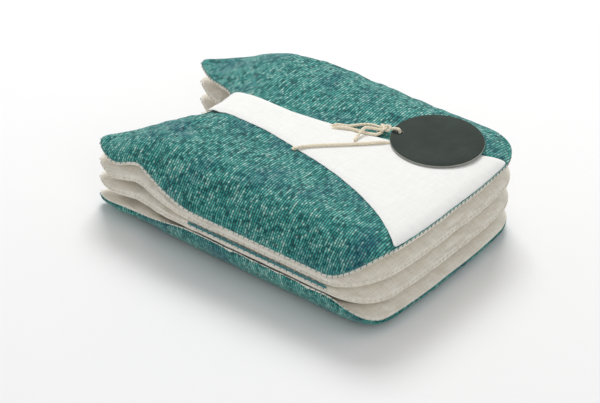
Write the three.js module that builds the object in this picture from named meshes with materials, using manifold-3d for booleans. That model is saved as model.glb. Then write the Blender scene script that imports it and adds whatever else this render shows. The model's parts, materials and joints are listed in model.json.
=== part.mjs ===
// A padded cloth book shaped like an animal's head: two covers and two leaves, sewn together along a straight
// spine, with a white band down the face and a round card tag tied on with cotton twine.
// Millimetres, +Z up. The closed book lies on its back cover. +Y runs from the chin to the ears, the spine is
// on the -X side, and the origin is under the middle of the book.
import * as THREE from 'three';
import Module from 'manifold-3d';
import { mergeVertices } from 'three/addons/utils/BufferGeometryUtils.js';

// Head outline, seen from above
const headWidth = 148;
const chinToCrown = 156;
const earHeight = 42;
const earTipRadius = 3.5;
const earTipInset = 25;
const earOuterInset = 8;
const earOuterRise = 5;
const earInnerRoot = 11.5;
const earInnerHollow = 0.5;
const earOuterBow = 3.5;
const earLean = 5;
const earLeanDepth = 60;
const earLeanReach = 30;
const crownDip = 1;
const shoulderLength = 38;
const shoulderBow = 1.8;
const chinInset = 22;
const chinRise = 2;
const chinBow = 1;
const chinCornerRise = 26;
const chinCornerBow = 6;

// Padded panels
const panelNames = ['back_cover', 'leaf_2', 'leaf_1', 'front_cover'];
const panelThickness = 13.6;
const panelGap = 0.4;
const edgeRoll = 22;
const seamThickness = 2;
const clothThickness = 0.8;
const innerGap = 0.4;
const filmThickness = 0.4;
const earSagShare = 0.17;
const earSagStart = 5;

// Spine seam
const seamRadius = 0.9;
const spineGap = 1;

// White band on the face
const bandThickness = 0.8;
const bandGap = 0.3;
const bandOverrun = 8;
const bandCrownHalf = 11.5;
const bandBrowHalf = 11.8;
const bandNoseHalf = 15.6;
const bandCheekHalf = 16.5;
const bandChinSpread = 7;
const bandBrowDrop = 40;
const bandNoseDrop = 64;
const bandNoseStep = 2.5;
const bandCheekHollow = 7.9;

// Round tag, its knot and the twine
const tagRadius = 25.5;
const tagThickness = 1;
const tagCentreX = 37.6;
const tagCentreDrop = 118.8;
const tagHoleRadius = 1.9;
const tagHoleInset = 4.4;
const tagTurn = 108.5;
const tagToKnot = 3.9;
const restGap = 0.3;
const twineRadius = 0.9;
const knotRadius = 1.8;
const knotTwineRadius = 0.7;
const loopRise = 0.6;

// The twine's route, chosen by hand. The second number is measured from the crown, and the third is the height
// above the strand's level on the band.
const leftStrandRoute = [
  [-18.2, -62.4, -0.9],
  [-16.2, -64.4, 0.1],
  [-12, -68.1, 0],
  [-6, -73.6, 0],
  [3.3, -83.3, 0],
  [10.9, -90.9, 0],
  [18.9, -98.5, 0],
];
const rightUpperRoute = [
  [16, -67.5, 0],
  [19, -72, 0],
  [23.3, -75.5, 0],
  [27, -78.7, 0],
  [29.2, -82.4, 0],
  [29.4, -86.8, 0.3],
];
const rightLowerRoute = [
  [14, -69.4, 0],
  [17.1, -74.6, 0],
  [19, -80.5, 0],
  [20.5, -85.6, 0],
  [22.3, -88.7, 0],
  [24.3, -90.2, 0.3],
];
const tailRoute = [
  [25.4, -87.6, 1.4],
  [23.2, -85.2, 2.3],
  [20, -83.6, 2.6],
  [15.4, -83.6, 1.4],
  [12, -84, 0.2],
  [9.2, -84.6, 0],
];

// How finely the curves are drawn
const ringShares = [1, 0.96, 0.88, 0.78, 0.64];
const chinSteps = 2;
const cornerSteps = 3;
const sideSteps = 4;
const shoulderSteps = 3;
const earEdgeSteps = 3;
const earTipSteps = 2;
const bandSteps = 6;
const tagSides = 40;
const holeSides = 10;
const twineSides = 8;
const twineStepDiameters = 2.2;
const seamSides = 8;
const knotTurns = 2;
const knotLobes = 3;
const knotSteps = 32;
const knotSides = 6;

// Places worked out from the sizes above
const panelPitch = panelThickness + panelGap;
const panelHalf = panelThickness / 2;
const seamHalf = seamThickness / 2;
const bookWidth = headWidth + spineGap + seamRadius;
const headCentreX = (bookWidth - headWidth) / 2;
const headHalf = headWidth / 2;
const earTipOffset = headHalf - earTipInset;
const leanAngle = THREE.MathUtils.degToRad(earLean);
const earTipArm = new THREE.Vector2(earTipOffset, earHeight - earTipRadius + earLeanDepth);
const earReach = earTipArm.rotateAround(new THREE.Vector2(), leanAngle).y - earLeanDepth + earTipRadius;
const bookLength = chinToCrown + earReach;
const earOuterRoot = headHalf - earOuterInset;
const chinHalfWidth = headHalf - chinInset;
const bandChinHalf = chinHalfWidth + bandChinSpread;
const chinY = -bookLength / 2;
const crownY = chinY + chinToCrown;
const earTipY = crownY + earHeight;
const cheekLowY = chinY + chinCornerRise;
const cheekHighY = crownY - shoulderLength;
const spineX = -bookWidth / 2 + seamRadius;
const spineZ = panelHalf + (panelPitch * (panelNames.length - 1)) / 2;
const coverTop = panelThickness + panelPitch * (panelNames.length - 1);
const bandTop = coverTop + bandGap + bandThickness;
const twineLevel = bandTop + restGap + twineRadius;

const wasm = await Module();
wasm.setup();

function bowedEdge(from, to, bow, steps) {
  const across = new THREE.Vector2(to.y - from.y, from.x - to.x).normalize();
  const control = from.clone().lerp(to, 0.5).addScaledVector(across, 2 * bow);
  return new THREE.QuadraticBezierCurve(from, control, to).getPoints(steps);
}

function earTipArc() {
  const centre = new THREE.Vector2(earTipOffset, earTipY - earTipRadius);
  const arc = new THREE.ArcCurve(centre.x, centre.y, earTipRadius, Math.PI / 5, (Math.PI * 4) / 5, false);
  return arc.getPoints(earTipSteps);
}

function halfOutline() {
  const tip = earTipArc();
  const chinMiddle = new THREE.Vector2(0, chinY);
  const chinEnd = new THREE.Vector2(chinHalfWidth, chinY + chinRise);
  const cheekLow = new THREE.Vector2(headHalf, cheekLowY);
  const cheekHigh = new THREE.Vector2(headHalf, cheekHighY);
  const earOuter = new THREE.Vector2(earOuterRoot, crownY + earOuterRise);
  const earInner = new THREE.Vector2(earInnerRoot, crownY + crownDip);
  const crownMiddle = new THREE.Vector2(0, crownY);
  const stretches = [
    bowedEdge(chinMiddle, chinEnd, chinBow, chinSteps),
    bowedEdge(chinEnd, cheekLow, chinCornerBow, cornerSteps),
    bowedEdge(cheekLow, cheekHigh, 0, sideSteps),
    bowedEdge(cheekHigh, earOuter, shoulderBow, shoulderSteps),
    bowedEdge(earOuter, tip[0], earOuterBow, earEdgeSteps),
    tip,
    bowedEdge(tip[tip.length - 1], earInner, -earInnerHollow, earEdgeSteps),
    [earInner, crownMiddle],
  ];
  return [chinMiddle, ...stretches.flatMap((points) => points.slice(1))];
}

function mirroredOutline(rightHalf) {
  const leftHalf = rightHalf.slice(1, -1).reverse().map((point) => new THREE.Vector2(-point.x, point.y));
  return [...rightHalf, ...leftHalf].map((point) => new THREE.Vector2(point.x + headCentreX, point.y));
}

// Both soft ears lie a little towards the spine: they turn about the middle of the head, fully at their tips.
function leanEar(point) {
  const share = THREE.MathUtils.smoothstep(point.y, crownY, crownY + earLeanReach);
  return point.rotateAround(new THREE.Vector2(headCentreX, crownY - earLeanDepth), leanAngle * share);
}

const headOutline = mirroredOutline(halfOutline()).map(leanEar);
const headCentre = new THREE.Vector2(headCentreX, (chinY + crownY) / 2);

function distanceToEdge(place) {
  const distances = headOutline.map((start, index) => {
    const along = headOutline[(index + 1) % headOutline.length].clone().sub(start);
    const reach = place.clone().sub(start).dot(along) / along.lengthSq();
    return place.distanceTo(start.clone().addScaledVector(along, THREE.MathUtils.clamp(reach, 0, 1)));
  });
  return Math.min(...distances);
}

// A quarter of an ellipse: 0 at the seam, 1 once the padding has reached its full thickness.
function rollShare(distance) {
  return Math.sqrt(1 - (1 - Math.min(distance / edgeRoll, 1)) ** 2);
}

// The ears hold less padding than the head, so the stack settles towards their tips.
function earSag(y) {
  return 1 - earSagShare * THREE.MathUtils.smoothstep(y, crownY - earSagStart, earTipY);
}

// The height of a layer inside or on a panel. All panels rise from the spine seam to their own level, and
// side is +1 for the panel's upper cloth and -1 for its lower one, with depth measured in from that cloth.
function layerHeight(place, slot, side, depth) {
  const level = panelHalf + slot * panelPitch;
  const middle = spineZ + (level - spineZ) * rollShare(place.x - spineX);
  const half = seamHalf + (panelHalf - seamHalf) * rollShare(distanceToEdge(place));
  return (middle + side * (half - depth)) * earSag(place.y);
}

function ringPlaces(share) {
  return headOutline.map((point) => headCentre.clone().lerp(point, share));
}

// A closed sheet over the rings: both faces have the same points seen from above, so sheets never cross.
function layeredSolid(shares, lower, upper) {
  const places = [...shares.flatMap(ringPlaces), headCentre];
  const count = headOutline.length;
  const lowerStart = places.length;
  const positions = [
    ...places.flatMap((place) => [place.x, place.y, upper(place)]),
    ...places.flatMap((place) => [place.x, place.y, lower(place)]),
  ];
  const faces = [];
  const addBothFaces = (a, b, c) => faces.push(a, b, c, lowerStart + a, lowerStart + c, lowerStart + b);
  for (let column = 0; column < count; column += 1) {
    const next = (column + 1) % count;
    const rightHalf = column < count / 2;
    for (let ring = 0; ring < shares.length - 1; ring += 1) {
      const outer = ring * count;
      const inner = outer + count;
      addBothFaces(outer + column, outer + next, rightHalf ? inner + column : inner + next);
      addBothFaces(rightHalf ? outer + next : outer + column, inner + next, inner + column);
    }
    const last = (shares.length - 1) * count;
    addBothFaces(last + column, last + next, lowerStart - 1);
    faces.push(lowerStart + column, lowerStart + next, next);
    faces.push(lowerStart + column, next, column);
  }
  const geometry = new THREE.BufferGeometry();
  geometry.setAttribute('position', new THREE.Float32BufferAttribute(positions, 3));
  geometry.setIndex(faces);
  return geometry;
}

function clothShell(slot, side) {
  const outside = (place) => layerHeight(place, slot, side, 0);
  const inside = (place) => layerHeight(place, slot, side, clothThickness);
  return side > 0 ? layeredSolid(ringShares, inside, outside) : layeredSolid(ringShares, outside, inside);
}

function crinkleFilm(slot) {
  const lowerDepth = clothThickness + innerGap;
  const lower = (place) => layerHeight(place, slot, -1, lowerDepth);
  const upper = (place) => layerHeight(place, slot, -1, lowerDepth + filmThickness);
  return layeredSolid(ringShares.slice(1), lower, upper);
}

function wadding(slot) {
  const upperDepth = clothThickness + innerGap;
  const lowerDepth = upperDepth + filmThickness + innerGap;
  const lower = (place) => layerHeight(place, slot, -1, lowerDepth);
  const upper = (place) => layerHeight(place, slot, 1, upperDepth);
  return layeredSolid(ringShares.slice(1), lower, upper);
}

function spineSeam() {
  const length = cheekHighY - cheekLowY;
  const geometry = new THREE.CylinderGeometry(seamRadius, seamRadius, length, seamSides);
  return geometry.translate(0, cheekLowY + length / 2, 0);
}

function toSolid(geometry) {
  const bare = geometry.clone();
  bare.deleteAttribute('normal');
  bare.deleteAttribute('uv');
  const merged = mergeVertices(bare);
  const vertProperties = new Float32Array(merged.attributes.position.array);
  const triVerts = new Uint32Array(merged.index.array);
  return new wasm.Manifold(new wasm.Mesh({ numProp: 3, vertProperties, triVerts }));
}

function toGeometry(solid) {
  const mesh = solid.getMesh();
  const geometry = new THREE.BufferGeometry();
  geometry.setAttribute('position', new THREE.Float32BufferAttribute(mesh.vertProperties, 3));
  geometry.setIndex([...mesh.triVerts]);
  return geometry;
}

function bandHalfOutline() {
  const crownEnd = new THREE.Vector2(bandCrownHalf, crownY + bandOverrun);
  const brow = new THREE.Vector2(bandBrowHalf, crownY - bandBrowDrop);
  const nose = new THREE.Vector2(bandNoseHalf, crownY - bandNoseDrop);
  const cheek = new THREE.Vector2(bandCheekHalf, nose.y - bandNoseStep);
  const chin = new THREE.Vector2(bandChinHalf, chinY - bandOverrun);
  return [crownEnd, brow, nose, ...bowedEdge(chin, cheek, -bandCheekHollow, bandSteps).reverse()];
}

// The band is a sheet over the face cloth, cut to its own outline.
function faceBand() {
  const slot = panelNames.length - 1;
  const lower = (place) => layerHeight(place, slot, 1, -bandGap);
  const upper = (place) => layerHeight(place, slot, 1, -bandGap - bandThickness);
  const right = bandHalfOutline();
  const left = right.map((point) => new THREE.Vector2(-point.x, point.y)).reverse();
  const outline = new THREE.Shape([...right, ...left]);
  const cutter = new THREE.ExtrudeGeometry(outline, { depth: bandTop, bevelEnabled: false });
  cutter.translate(headCentreX, 0, spineZ);
  return toGeometry(toSolid(layeredSolid(ringShares, lower, upper)).intersect(toSolid(cutter)));
}

function polygonPoints(radius, sides) {
  const turns = Array.from({ length: sides }, (_, index) => (index / sides) * 2 * Math.PI);
  return turns.map((turn) => new THREE.Vector2(radius * Math.cos(turn), radius * Math.sin(turn)));
}

const tagCentre = new THREE.Vector3(tagCentreX, crownY - tagCentreDrop, bandTop + restGap);
const tagAngle = THREE.MathUtils.degToRad(tagTurn);
const towardsKnot = new THREE.Vector3(Math.cos(tagAngle), Math.sin(tagAngle), 0);
const knotHeight = knotRadius / 2 + knotTwineRadius;
const knotCentre = tagCentre.clone().addScaledVector(towardsKnot, tagRadius + tagToKnot);
knotCentre.z = bandTop + restGap + knotHeight;

function hangTag() {
  const shape = new THREE.Shape(polygonPoints(tagRadius, tagSides));
  const holeReach = towardsKnot.clone().multiplyScalar(tagRadius - tagHoleInset);
  const hole = polygonPoints(tagHoleRadius, holeSides).map((point) => point.add(holeReach));
  shape.holes.push(new THREE.Path(hole));
  return new THREE.ExtrudeGeometry(shape, { depth: tagThickness, bevelEnabled: false });
}

function twineTube(route) {
  const curve = new THREE.CatmullRomCurve3(route, false, 'centripetal');
  const steps = Math.ceil(curve.getLength() / (2 * twineRadius * twineStepDiameters));
  const section = new THREE.Shape(polygonPoints(twineRadius, twineSides));
  return new THREE.ExtrudeGeometry(section, { steps, extrudePath: curve, bevelEnabled: false });
}

function strand(route) {
  return twineTube(route.map(([x, y, rise]) => new THREE.Vector3(x, crownY + y, twineLevel + rise)));
}

// The loop leaves the knot, bends over the tag's rim and goes down into the tag's hole.
function tagLoop() {
  const towardsTag = towardsKnot.clone().negate();
  const holeReach = tagToKnot + tagHoleInset;
  const knotReach = 1.5 * knotRadius + knotTwineRadius + restGap;
  const lowest = tagCentre.z + tagThickness + restGap + twineRadius - knotCentre.z;
  const heights = [lowest, lowest + loopRise, lowest + loopRise / 2, tagCentre.z + tagThickness / 2 - knotCentre.z];
  const reaches = [knotReach, (knotReach + holeReach) / 2, holeReach, holeReach];
  return twineTube(reaches.map((reach, index) => {
    const point = knotCentre.clone().addScaledVector(towardsTag, reach);
    point.z += heights[index];
    return point;
  }));
}

function twineKnot() {
  return new THREE.TorusKnotGeometry(knotRadius, knotTwineRadius, knotSteps, knotSides, knotTurns, knotLobes);
}

const materials = {
  teal_cloth: new THREE.MeshStandardMaterial({ color: 0x3f8a8c, roughness: 0.95 }),
  page_cloth: new THREE.MeshStandardMaterial({ color: 0xe9e4d8, roughness: 0.95 }),
  white_cloth: new THREE.MeshStandardMaterial({ color: 0xf4f4f2, roughness: 0.9 }),
  wadding: new THREE.MeshStandardMaterial({ color: 0xf7f7f4, roughness: 1 }),
  crinkle_film: new THREE.MeshStandardMaterial({ color: 0xd9dde0, roughness: 0.3 }),
  seam_thread: new THREE.MeshStandardMaterial({ color: 0x2f6f72, roughness: 0.9 }),
  cotton_twine: new THREE.MeshStandardMaterial({ color: 0xe3d2b4, roughness: 0.95 }),
  tag_card: new THREE.MeshStandardMaterial({ color: 0x3a423c, roughness: 0.8 }),
};

const group = new THREE.Group();

function addPiece(name, geometry, material, position = new THREE.Vector3()) {
  const mesh = new THREE.Mesh(geometry, materials[material]);
  mesh.name = name;
  mesh.position.copy(position);
  group.add(mesh);
}

function addPanel(name, slot, clothNames, clothMaterials) {
  addPiece(`${name}_${clothNames[0]}`, clothShell(slot, 1), clothMaterials[0]);
  addPiece(`${name}_wadding`, wadding(slot), 'wadding');
  addPiece(`${name}_crinkle_film`, crinkleFilm(slot), 'crinkle_film');
  addPiece(`${name}_${clothNames[1]}`, clothShell(slot, -1), clothMaterials[1]);
}

panelNames.forEach((name, slot) => {
  if (slot === 0) {
    addPanel(name, slot, ['inner_cloth', 'outer_cloth'], ['page_cloth', 'teal_cloth']);
  } else if (slot === panelNames.length - 1) {
    addPanel(name, slot, ['face_cloth', 'inner_cloth'], ['teal_cloth', 'page_cloth']);
  } else {
    addPanel(name, slot, ['front_cloth', 'back_cloth'], ['page_cloth', 'page_cloth']);
  }
});
addPiece('spine_seam', spineSeam(), 'seam_thread', new THREE.Vector3(spineX, 0, spineZ));
addPiece('face_band', faceBand(), 'white_cloth');
addPiece('hang_tag', hangTag(), 'tag_card', tagCentre);
addPiece('twine_left', strand(leftStrandRoute), 'cotton_twine');
addPiece('twine_right_upper', strand(rightUpperRoute), 'cotton_twine');
addPiece('twine_right_lower', strand(rightLowerRoute), 'cotton_twine');
addPiece('twine_tail', strand(tailRoute), 'cotton_twine');
addPiece('twine_knot', twineKnot(), 'cotton_twine', knotCentre);
addPiece('twine_tag_loop', tagLoop(), 'cotton_twine');

export default group;
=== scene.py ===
"""Dresses the padded cloth book: its padded panels, face band, sewn spine, twine and round card tag.

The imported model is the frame: metres, +Y from the chin to the ears, +Z up through the closed book, and the
sewn spine at -X. Sizes are written in millimetres and turned to metres where a mesh is made.
"""

import json
import logging
import math
from dataclasses import dataclass
from enum import Enum

import bmesh
import bpy
import numpy as np
from mathutils import Matrix, Vector
from mathutils.bvhtree import BVHTree
from mathutils.geometry import delaunay_2d_cdt

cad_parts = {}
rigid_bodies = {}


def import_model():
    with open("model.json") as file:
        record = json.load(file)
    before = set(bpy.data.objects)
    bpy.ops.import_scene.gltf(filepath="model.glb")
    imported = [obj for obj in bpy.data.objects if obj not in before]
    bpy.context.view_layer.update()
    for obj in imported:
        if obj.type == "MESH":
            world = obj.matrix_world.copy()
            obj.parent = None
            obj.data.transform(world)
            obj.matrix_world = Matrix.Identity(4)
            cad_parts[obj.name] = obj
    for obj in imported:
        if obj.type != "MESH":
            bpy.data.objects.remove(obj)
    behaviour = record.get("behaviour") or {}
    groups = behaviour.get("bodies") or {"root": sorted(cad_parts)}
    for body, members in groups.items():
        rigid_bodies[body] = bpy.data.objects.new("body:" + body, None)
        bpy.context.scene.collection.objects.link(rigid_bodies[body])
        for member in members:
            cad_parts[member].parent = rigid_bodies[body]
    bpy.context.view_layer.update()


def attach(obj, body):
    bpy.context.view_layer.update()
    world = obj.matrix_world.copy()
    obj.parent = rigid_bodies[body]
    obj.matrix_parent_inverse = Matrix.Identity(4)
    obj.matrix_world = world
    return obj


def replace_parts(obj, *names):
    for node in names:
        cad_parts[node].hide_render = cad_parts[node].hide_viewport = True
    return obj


Array = np.ndarray
Tree = bpy.types.NodeTree
Socket = bpy.types.NodeSocket
Node = bpy.types.Node
Object = bpy.types.Object
Material = bpy.types.Material

LOG = logging.getLogger("cloth_book")
MM = 0.001
CLOTH_UV = "cloth"
SEED = 11
TINY = 1e-9
# Places worked out between two points of a curve
CURVE_SAMPLES = 24
# A net's rings keep this share of their inset, its inner places this share of their spacing from the rings,
# and each inner place is shifted by up to this share of the spacing
RING_SHARE = 0.9
NET_ROOM = 0.6
NET_SHIFT = 0.18
# The height that rays look down from, in metres
DOWNWARD_FROM = 0.1
# How far apart neighbouring yarns are in the noise that tones them, and the part of it that is used
YARN_SPREAD = 7.31
YARN_TONES = (0.33, 0.67)


class Side(Enum):
    """Which of a panel's two cloths a face belongs to, as the sign of its height."""

    UPPER = 1
    LOWER = -1


def linear(hex_colour: str) -> tuple[float, float, float, float]:
    """Turns an sRGB hex colour to linear.

    Args:
        hex_colour: Six hex digits, such as "3f8a8c".

    Returns:
        Linear red, green and blue, and an alpha of 1.
    """
    shares = [int(hex_colour[start : start + 2], 16) / 255 for start in (0, 2, 4)]
    values = [s / 12.92 if s <= 0.04045 else ((s + 0.055) / 1.055) ** 2.4 for s in shares]
    return (*values, 1.0)


def feed(tree: Tree, socket: Socket, value: object) -> None:
    """Links an input, or sets its value.

    Args:
        tree: The tree that holds the input.
        socket: The input.
        value: The socket to link from, a node whose first output is linked, or a plain value.
    """
    if isinstance(value, Node):
        value = value.outputs[0]
    if isinstance(value, Socket):
        tree.links.new(value, socket)
    else:
        socket.default_value = value


def add_node(
    tree: Tree, kind: str, settings: dict | None = None, inputs: dict | None = None, stops: tuple = ()
) -> Node:
    """Adds a node with its settings, its inputs and its colours.

    Args:
        tree: The tree to add to.
        kind: The node's type name.
        settings: Property names and values.
        inputs: Input names or numbers, each with what feeds it.
        stops: Pairs of place and hex colour, in order, where the node is a ramp of colours.

    Returns:
        The new node.
    """
    node = tree.nodes.new(kind)
    for name, value in (settings or {}).items():
        setattr(node, name, value)
    for key, value in (inputs or {}).items():
        feed(tree, node.inputs[key], value)
    elements = node.color_ramp.elements if stops else []
    while len(elements) < len(stops):
        elements.new(0.5)
    for element, (place, colour) in zip(elements, stops):
        element.position = place
        element.color = linear(colour)
    return node


def new_object(name: str, points_mm: Array, faces: list, materials: list) -> Object:
    """Makes a smooth-shaded mesh object at the origin.

    Args:
        name: The piece's name.
        points_mm: Vertex places in millimetres.
        faces: Vertex numbers of each face, turned outwards.
        materials: The materials of the object's slots.

    Returns:
        The new object.
    """
    mesh = bpy.data.meshes.new(name)
    mesh.from_pydata((np.asarray(points_mm) * MM).tolist(), [], faces)
    for material in materials:
        mesh.materials.append(material)
    mesh.shade_smooth()
    mesh.update()
    made = bpy.data.objects.new(name, mesh)
    bpy.context.scene.collection.objects.link(made)
    return made


def bake_modifiers(piece: Object) -> None:
    """Turns a piece with its modifiers into a plain mesh.

    Args:
        piece: The object whose modifiers are applied and removed.
    """
    graph = bpy.context.evaluated_depsgraph_get()
    baked = bpy.data.meshes.new_from_object(piece.evaluated_get(graph), depsgraph=graph)
    old = piece.data
    piece.modifiers.clear()
    piece.data = baked
    bpy.data.meshes.remove(old)
    baked.name = piece.name


def refine(piece: Object) -> None:
    """Subdivides a piece once, so that its cloth bends smoothly.

    Args:
        piece: The piece, whose modifiers are all applied.
    """
    subdivision = piece.modifiers.new("Finer cloth", "SUBSURF")
    subdivision.levels = subdivision.render_levels = 1
    subdivision.use_limit_surface = False
    bake_modifiers(piece)


def smoothstep(value: Array, low: float, high: float) -> Array:
    """Rises smoothly from 0 at low to 1 at high.

    Args:
        value: Where to take it.
        low: Where it starts to rise.
        high: Where it reaches 1.

    Returns:
        The share at each value.
    """
    share = np.clip((value - low) / (high - low), 0, 1)
    return share * share * (3 - 2 * share)


def unit_rows(rows: Array) -> Array:
    """Scales each row to length 1."""
    return rows / np.linalg.norm(rows, axis=1)[:, None]


def lengths_along(path: Array) -> Array:
    """Gives the length along a path up to each of its places."""
    return np.concatenate([[0], np.cumsum(np.linalg.norm(np.diff(path, axis=0), axis=1))])


def inward_directions(loop: Array) -> Array:
    """Gives the unit direction inwards at each place of a counter-clockwise outline."""
    tangent = unit_rows(np.roll(loop, -1, axis=0) - np.roll(loop, 1, axis=0))
    return np.column_stack([-tangent[:, 1], tangent[:, 0]])


def mesh_places(mesh: bpy.types.Mesh) -> Array:
    """Reads a mesh's vertex places, in millimetres."""
    places = np.zeros(len(mesh.vertices) * 3, np.float32)
    mesh.vertices.foreach_get("co", places)
    return places.reshape(-1, 3).astype(float) / MM


def height_below(tree: BVHTree, x: float, y: float) -> float | None:
    """Gives the height of the first face met on the way down at a place, in millimetres."""
    hit = tree.ray_cast(Vector((x * MM, y * MM, DOWNWARD_FROM)), Vector((0, 0, -1)))[0]
    return None if hit is None else hit.z / MM


def spline(points: Array, step: float) -> Array:
    """Draws a centripetal Catmull-Rom curve through points.

    Args:
        points: The points, in order.
        step: The distance between the places returned.

    Returns:
        Places along the curve, evenly spaced.
    """
    points = np.asarray(points, float)
    ends = np.vstack([2 * points[0] - points[1], points, 2 * points[-1] - points[-2]])
    drawn = []
    for index in range(1, len(ends) - 2):
        stretch = ends[index - 1 : index + 3]
        knots = np.concatenate([[0], np.cumsum(np.linalg.norm(np.diff(stretch, axis=0), axis=1) ** 0.5)])
        for moment in np.linspace(knots[1], knots[2], CURVE_SAMPLES, endpoint=False):
            drawn.append(catmull_rom_place(stretch, knots, moment))
    drawn = np.array([*drawn, points[-1]])
    along = lengths_along(drawn)
    count = max(2, round(along[-1] / step)) + 1
    wanted = np.linspace(0, along[-1], count)
    return np.column_stack([np.interp(wanted, along, drawn[:, axis]) for axis in range(drawn.shape[1])])


def catmull_rom_place(stretch: Array, knots: Array, moment: float) -> Array:
    """Gives one place on a stretch of a Catmull-Rom curve.

    Args:
        stretch: Four points, of which the curve joins the middle two.
        knots: The parameter at each of the four points.
        moment: The parameter wanted.

    Returns:
        The place.
    """
    level = list(stretch)
    for gap in (1, 2, 3):
        for index in range(4 - gap):
            low, high = (knots[1], knots[2]) if gap == 3 else (knots[index], knots[index + gap])
            share = (moment - low) / (high - low)
            level[index] = level[index] * (1 - share) + level[index + 1] * share
    return level[0]


def bowed_edge(start: tuple, end: tuple, bow: float, step: float) -> Array:
    """Draws a shallow curve between two points.

    Args:
        start: Its first point.
        end: Its last point.
        bow: How far its middle stands out to the right of the way from start to end.
        step: The distance between the places returned.

    Returns:
        Places along the curve, both ends among them.
    """
    start, end = np.array(start, float), np.array(end, float)
    length = np.linalg.norm(end - start)
    across = np.array([end[1] - start[1], start[0] - end[0]]) / length
    control = (start + end) / 2 + across * 2 * bow
    shares = np.linspace(0, 1, max(2, round(length / step)) + 1)[:, None]
    return (1 - shares) ** 2 * start + 2 * shares * (1 - shares) * control + shares**2 * end


@dataclass(frozen=True)
class HeadOutline:
    """The outline of the animal's head seen from above, in millimetres, as the CAD source draws it."""

    head_width: float = 148
    chin_to_crown: float = 156
    ear_height: float = 42
    ear_tip_radius: float = 3.5
    ear_tip_inset: float = 25
    ear_outer_inset: float = 8
    ear_outer_rise: float = 5
    ear_inner_root: float = 11.5
    ear_inner_hollow: float = 0.5
    ear_outer_bow: float = 3.5
    ear_lean: float = 5
    ear_lean_depth: float = 60
    ear_lean_reach: float = 30
    crown_dip: float = 1
    shoulder_length: float = 38
    shoulder_bow: float = 1.8
    chin_inset: float = 22
    chin_rise: float = 2
    chin_bow: float = 1
    chin_corner_rise: float = 26
    chin_corner_bow: float = 6
    centre_x: float = 0.95
    smoothing_rounds: int = 4
    smoothing_share: float = 0.4
    ear_tip_arc: tuple = (0.2, 0.8)

    @property
    def half_width(self) -> float:
        """Half the width of the head."""
        return self.head_width / 2

    @property
    def ear_reach(self) -> float:
        """How far the higher ear reaches past the crown."""
        lean = math.radians(self.ear_lean)
        out = self.half_width - self.ear_tip_inset
        up = self.ear_height - self.ear_tip_radius + self.ear_lean_depth
        return out * math.sin(lean) + up * math.cos(lean) - self.ear_lean_depth + self.ear_tip_radius

    @property
    def chin_y(self) -> float:
        """The lowest place of the chin."""
        return -(self.chin_to_crown + self.ear_reach) / 2

    @property
    def crown_y(self) -> float:
        """The crown between the ears."""
        return self.chin_y + self.chin_to_crown

    @property
    def cheek_low_y(self) -> float:
        """Where the straight side begins, near the chin."""
        return self.chin_y + self.chin_corner_rise

    @property
    def cheek_high_y(self) -> float:
        """Where the straight side ends, at the shoulder."""
        return self.crown_y - self.shoulder_length

    def ear_tip(self, step: float) -> Array:
        """Draws the round tip of the right ear.

        Args:
            step: The distance between the places returned.

        Returns:
            Places along the arc, from its outer end to its inner end.
        """
        tip_y = self.crown_y + self.ear_height
        centre = np.array([self.half_width - self.ear_tip_inset, tip_y - self.ear_tip_radius])
        first, last = self.ear_tip_arc
        angles = np.linspace(first * math.pi, last * math.pi, max(4, round(2 * self.ear_tip_radius / step)))
        return centre + self.ear_tip_radius * np.column_stack([np.cos(angles), np.sin(angles)])

    def half(self, step: float) -> Array:
        """Draws the right half of the outline, from the middle of the chin to the middle of the crown.

        Args:
            step: The distance between the places returned.

        Returns:
            Places along the half outline, before it is moved to centre_x.
        """
        tip = self.ear_tip(step)
        chin_end = (self.half_width - self.chin_inset, self.chin_y + self.chin_rise)
        cheek_low = (self.half_width, self.cheek_low_y)
        cheek_high = (self.half_width, self.cheek_high_y)
        ear_outer = (self.half_width - self.ear_outer_inset, self.crown_y + self.ear_outer_rise)
        ear_inner = (self.ear_inner_root, self.crown_y + self.crown_dip)
        stretches = [
            bowed_edge((0, self.chin_y), chin_end, self.chin_bow, step),
            bowed_edge(chin_end, cheek_low, self.chin_corner_bow, step),
            bowed_edge(cheek_low, cheek_high, 0, step),
            bowed_edge(cheek_high, ear_outer, self.shoulder_bow, step),
            bowed_edge(ear_outer, tip[0], self.ear_outer_bow, step),
            tip,
            bowed_edge(tip[-1], ear_inner, -self.ear_inner_hollow, step),
            bowed_edge(ear_inner, (0, self.crown_y), 0, step),
        ]
        return np.vstack([stretches[0], *[stretch[1:] for stretch in stretches[1:]]])

    def leaned(self, places: Array) -> Array:
        """Turns the soft ears a little towards the spine, fully at their tips."""
        share = smoothstep(places[:, 1], self.crown_y, self.crown_y + self.ear_lean_reach)
        turn = math.radians(self.ear_lean) * share
        depth = self.crown_y - self.ear_lean_depth
        x, y = places[:, 0], places[:, 1] - depth
        across = x * np.cos(turn) - y * np.sin(turn)
        return np.column_stack([across, x * np.sin(turn) + y * np.cos(turn) + depth])

    def loop(self, step: float) -> Array:
        """Draws the whole outline, counter-clockwise from the middle of the chin.

        Args:
            step: The distance between the places returned.

        Returns:
            Places round the outline.
        """
        right = self.half(step)
        left = right[1:-1][::-1] * [-1, 1]
        places = self.leaned(np.vstack([right, left]))
        for _ in range(self.smoothing_rounds):
            around = (np.roll(places, 1, axis=0) + np.roll(places, -1, axis=0)) / 2
            places = places * (1 - self.smoothing_share) + around * self.smoothing_share
        return places + [self.centre_x, 0]


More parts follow.
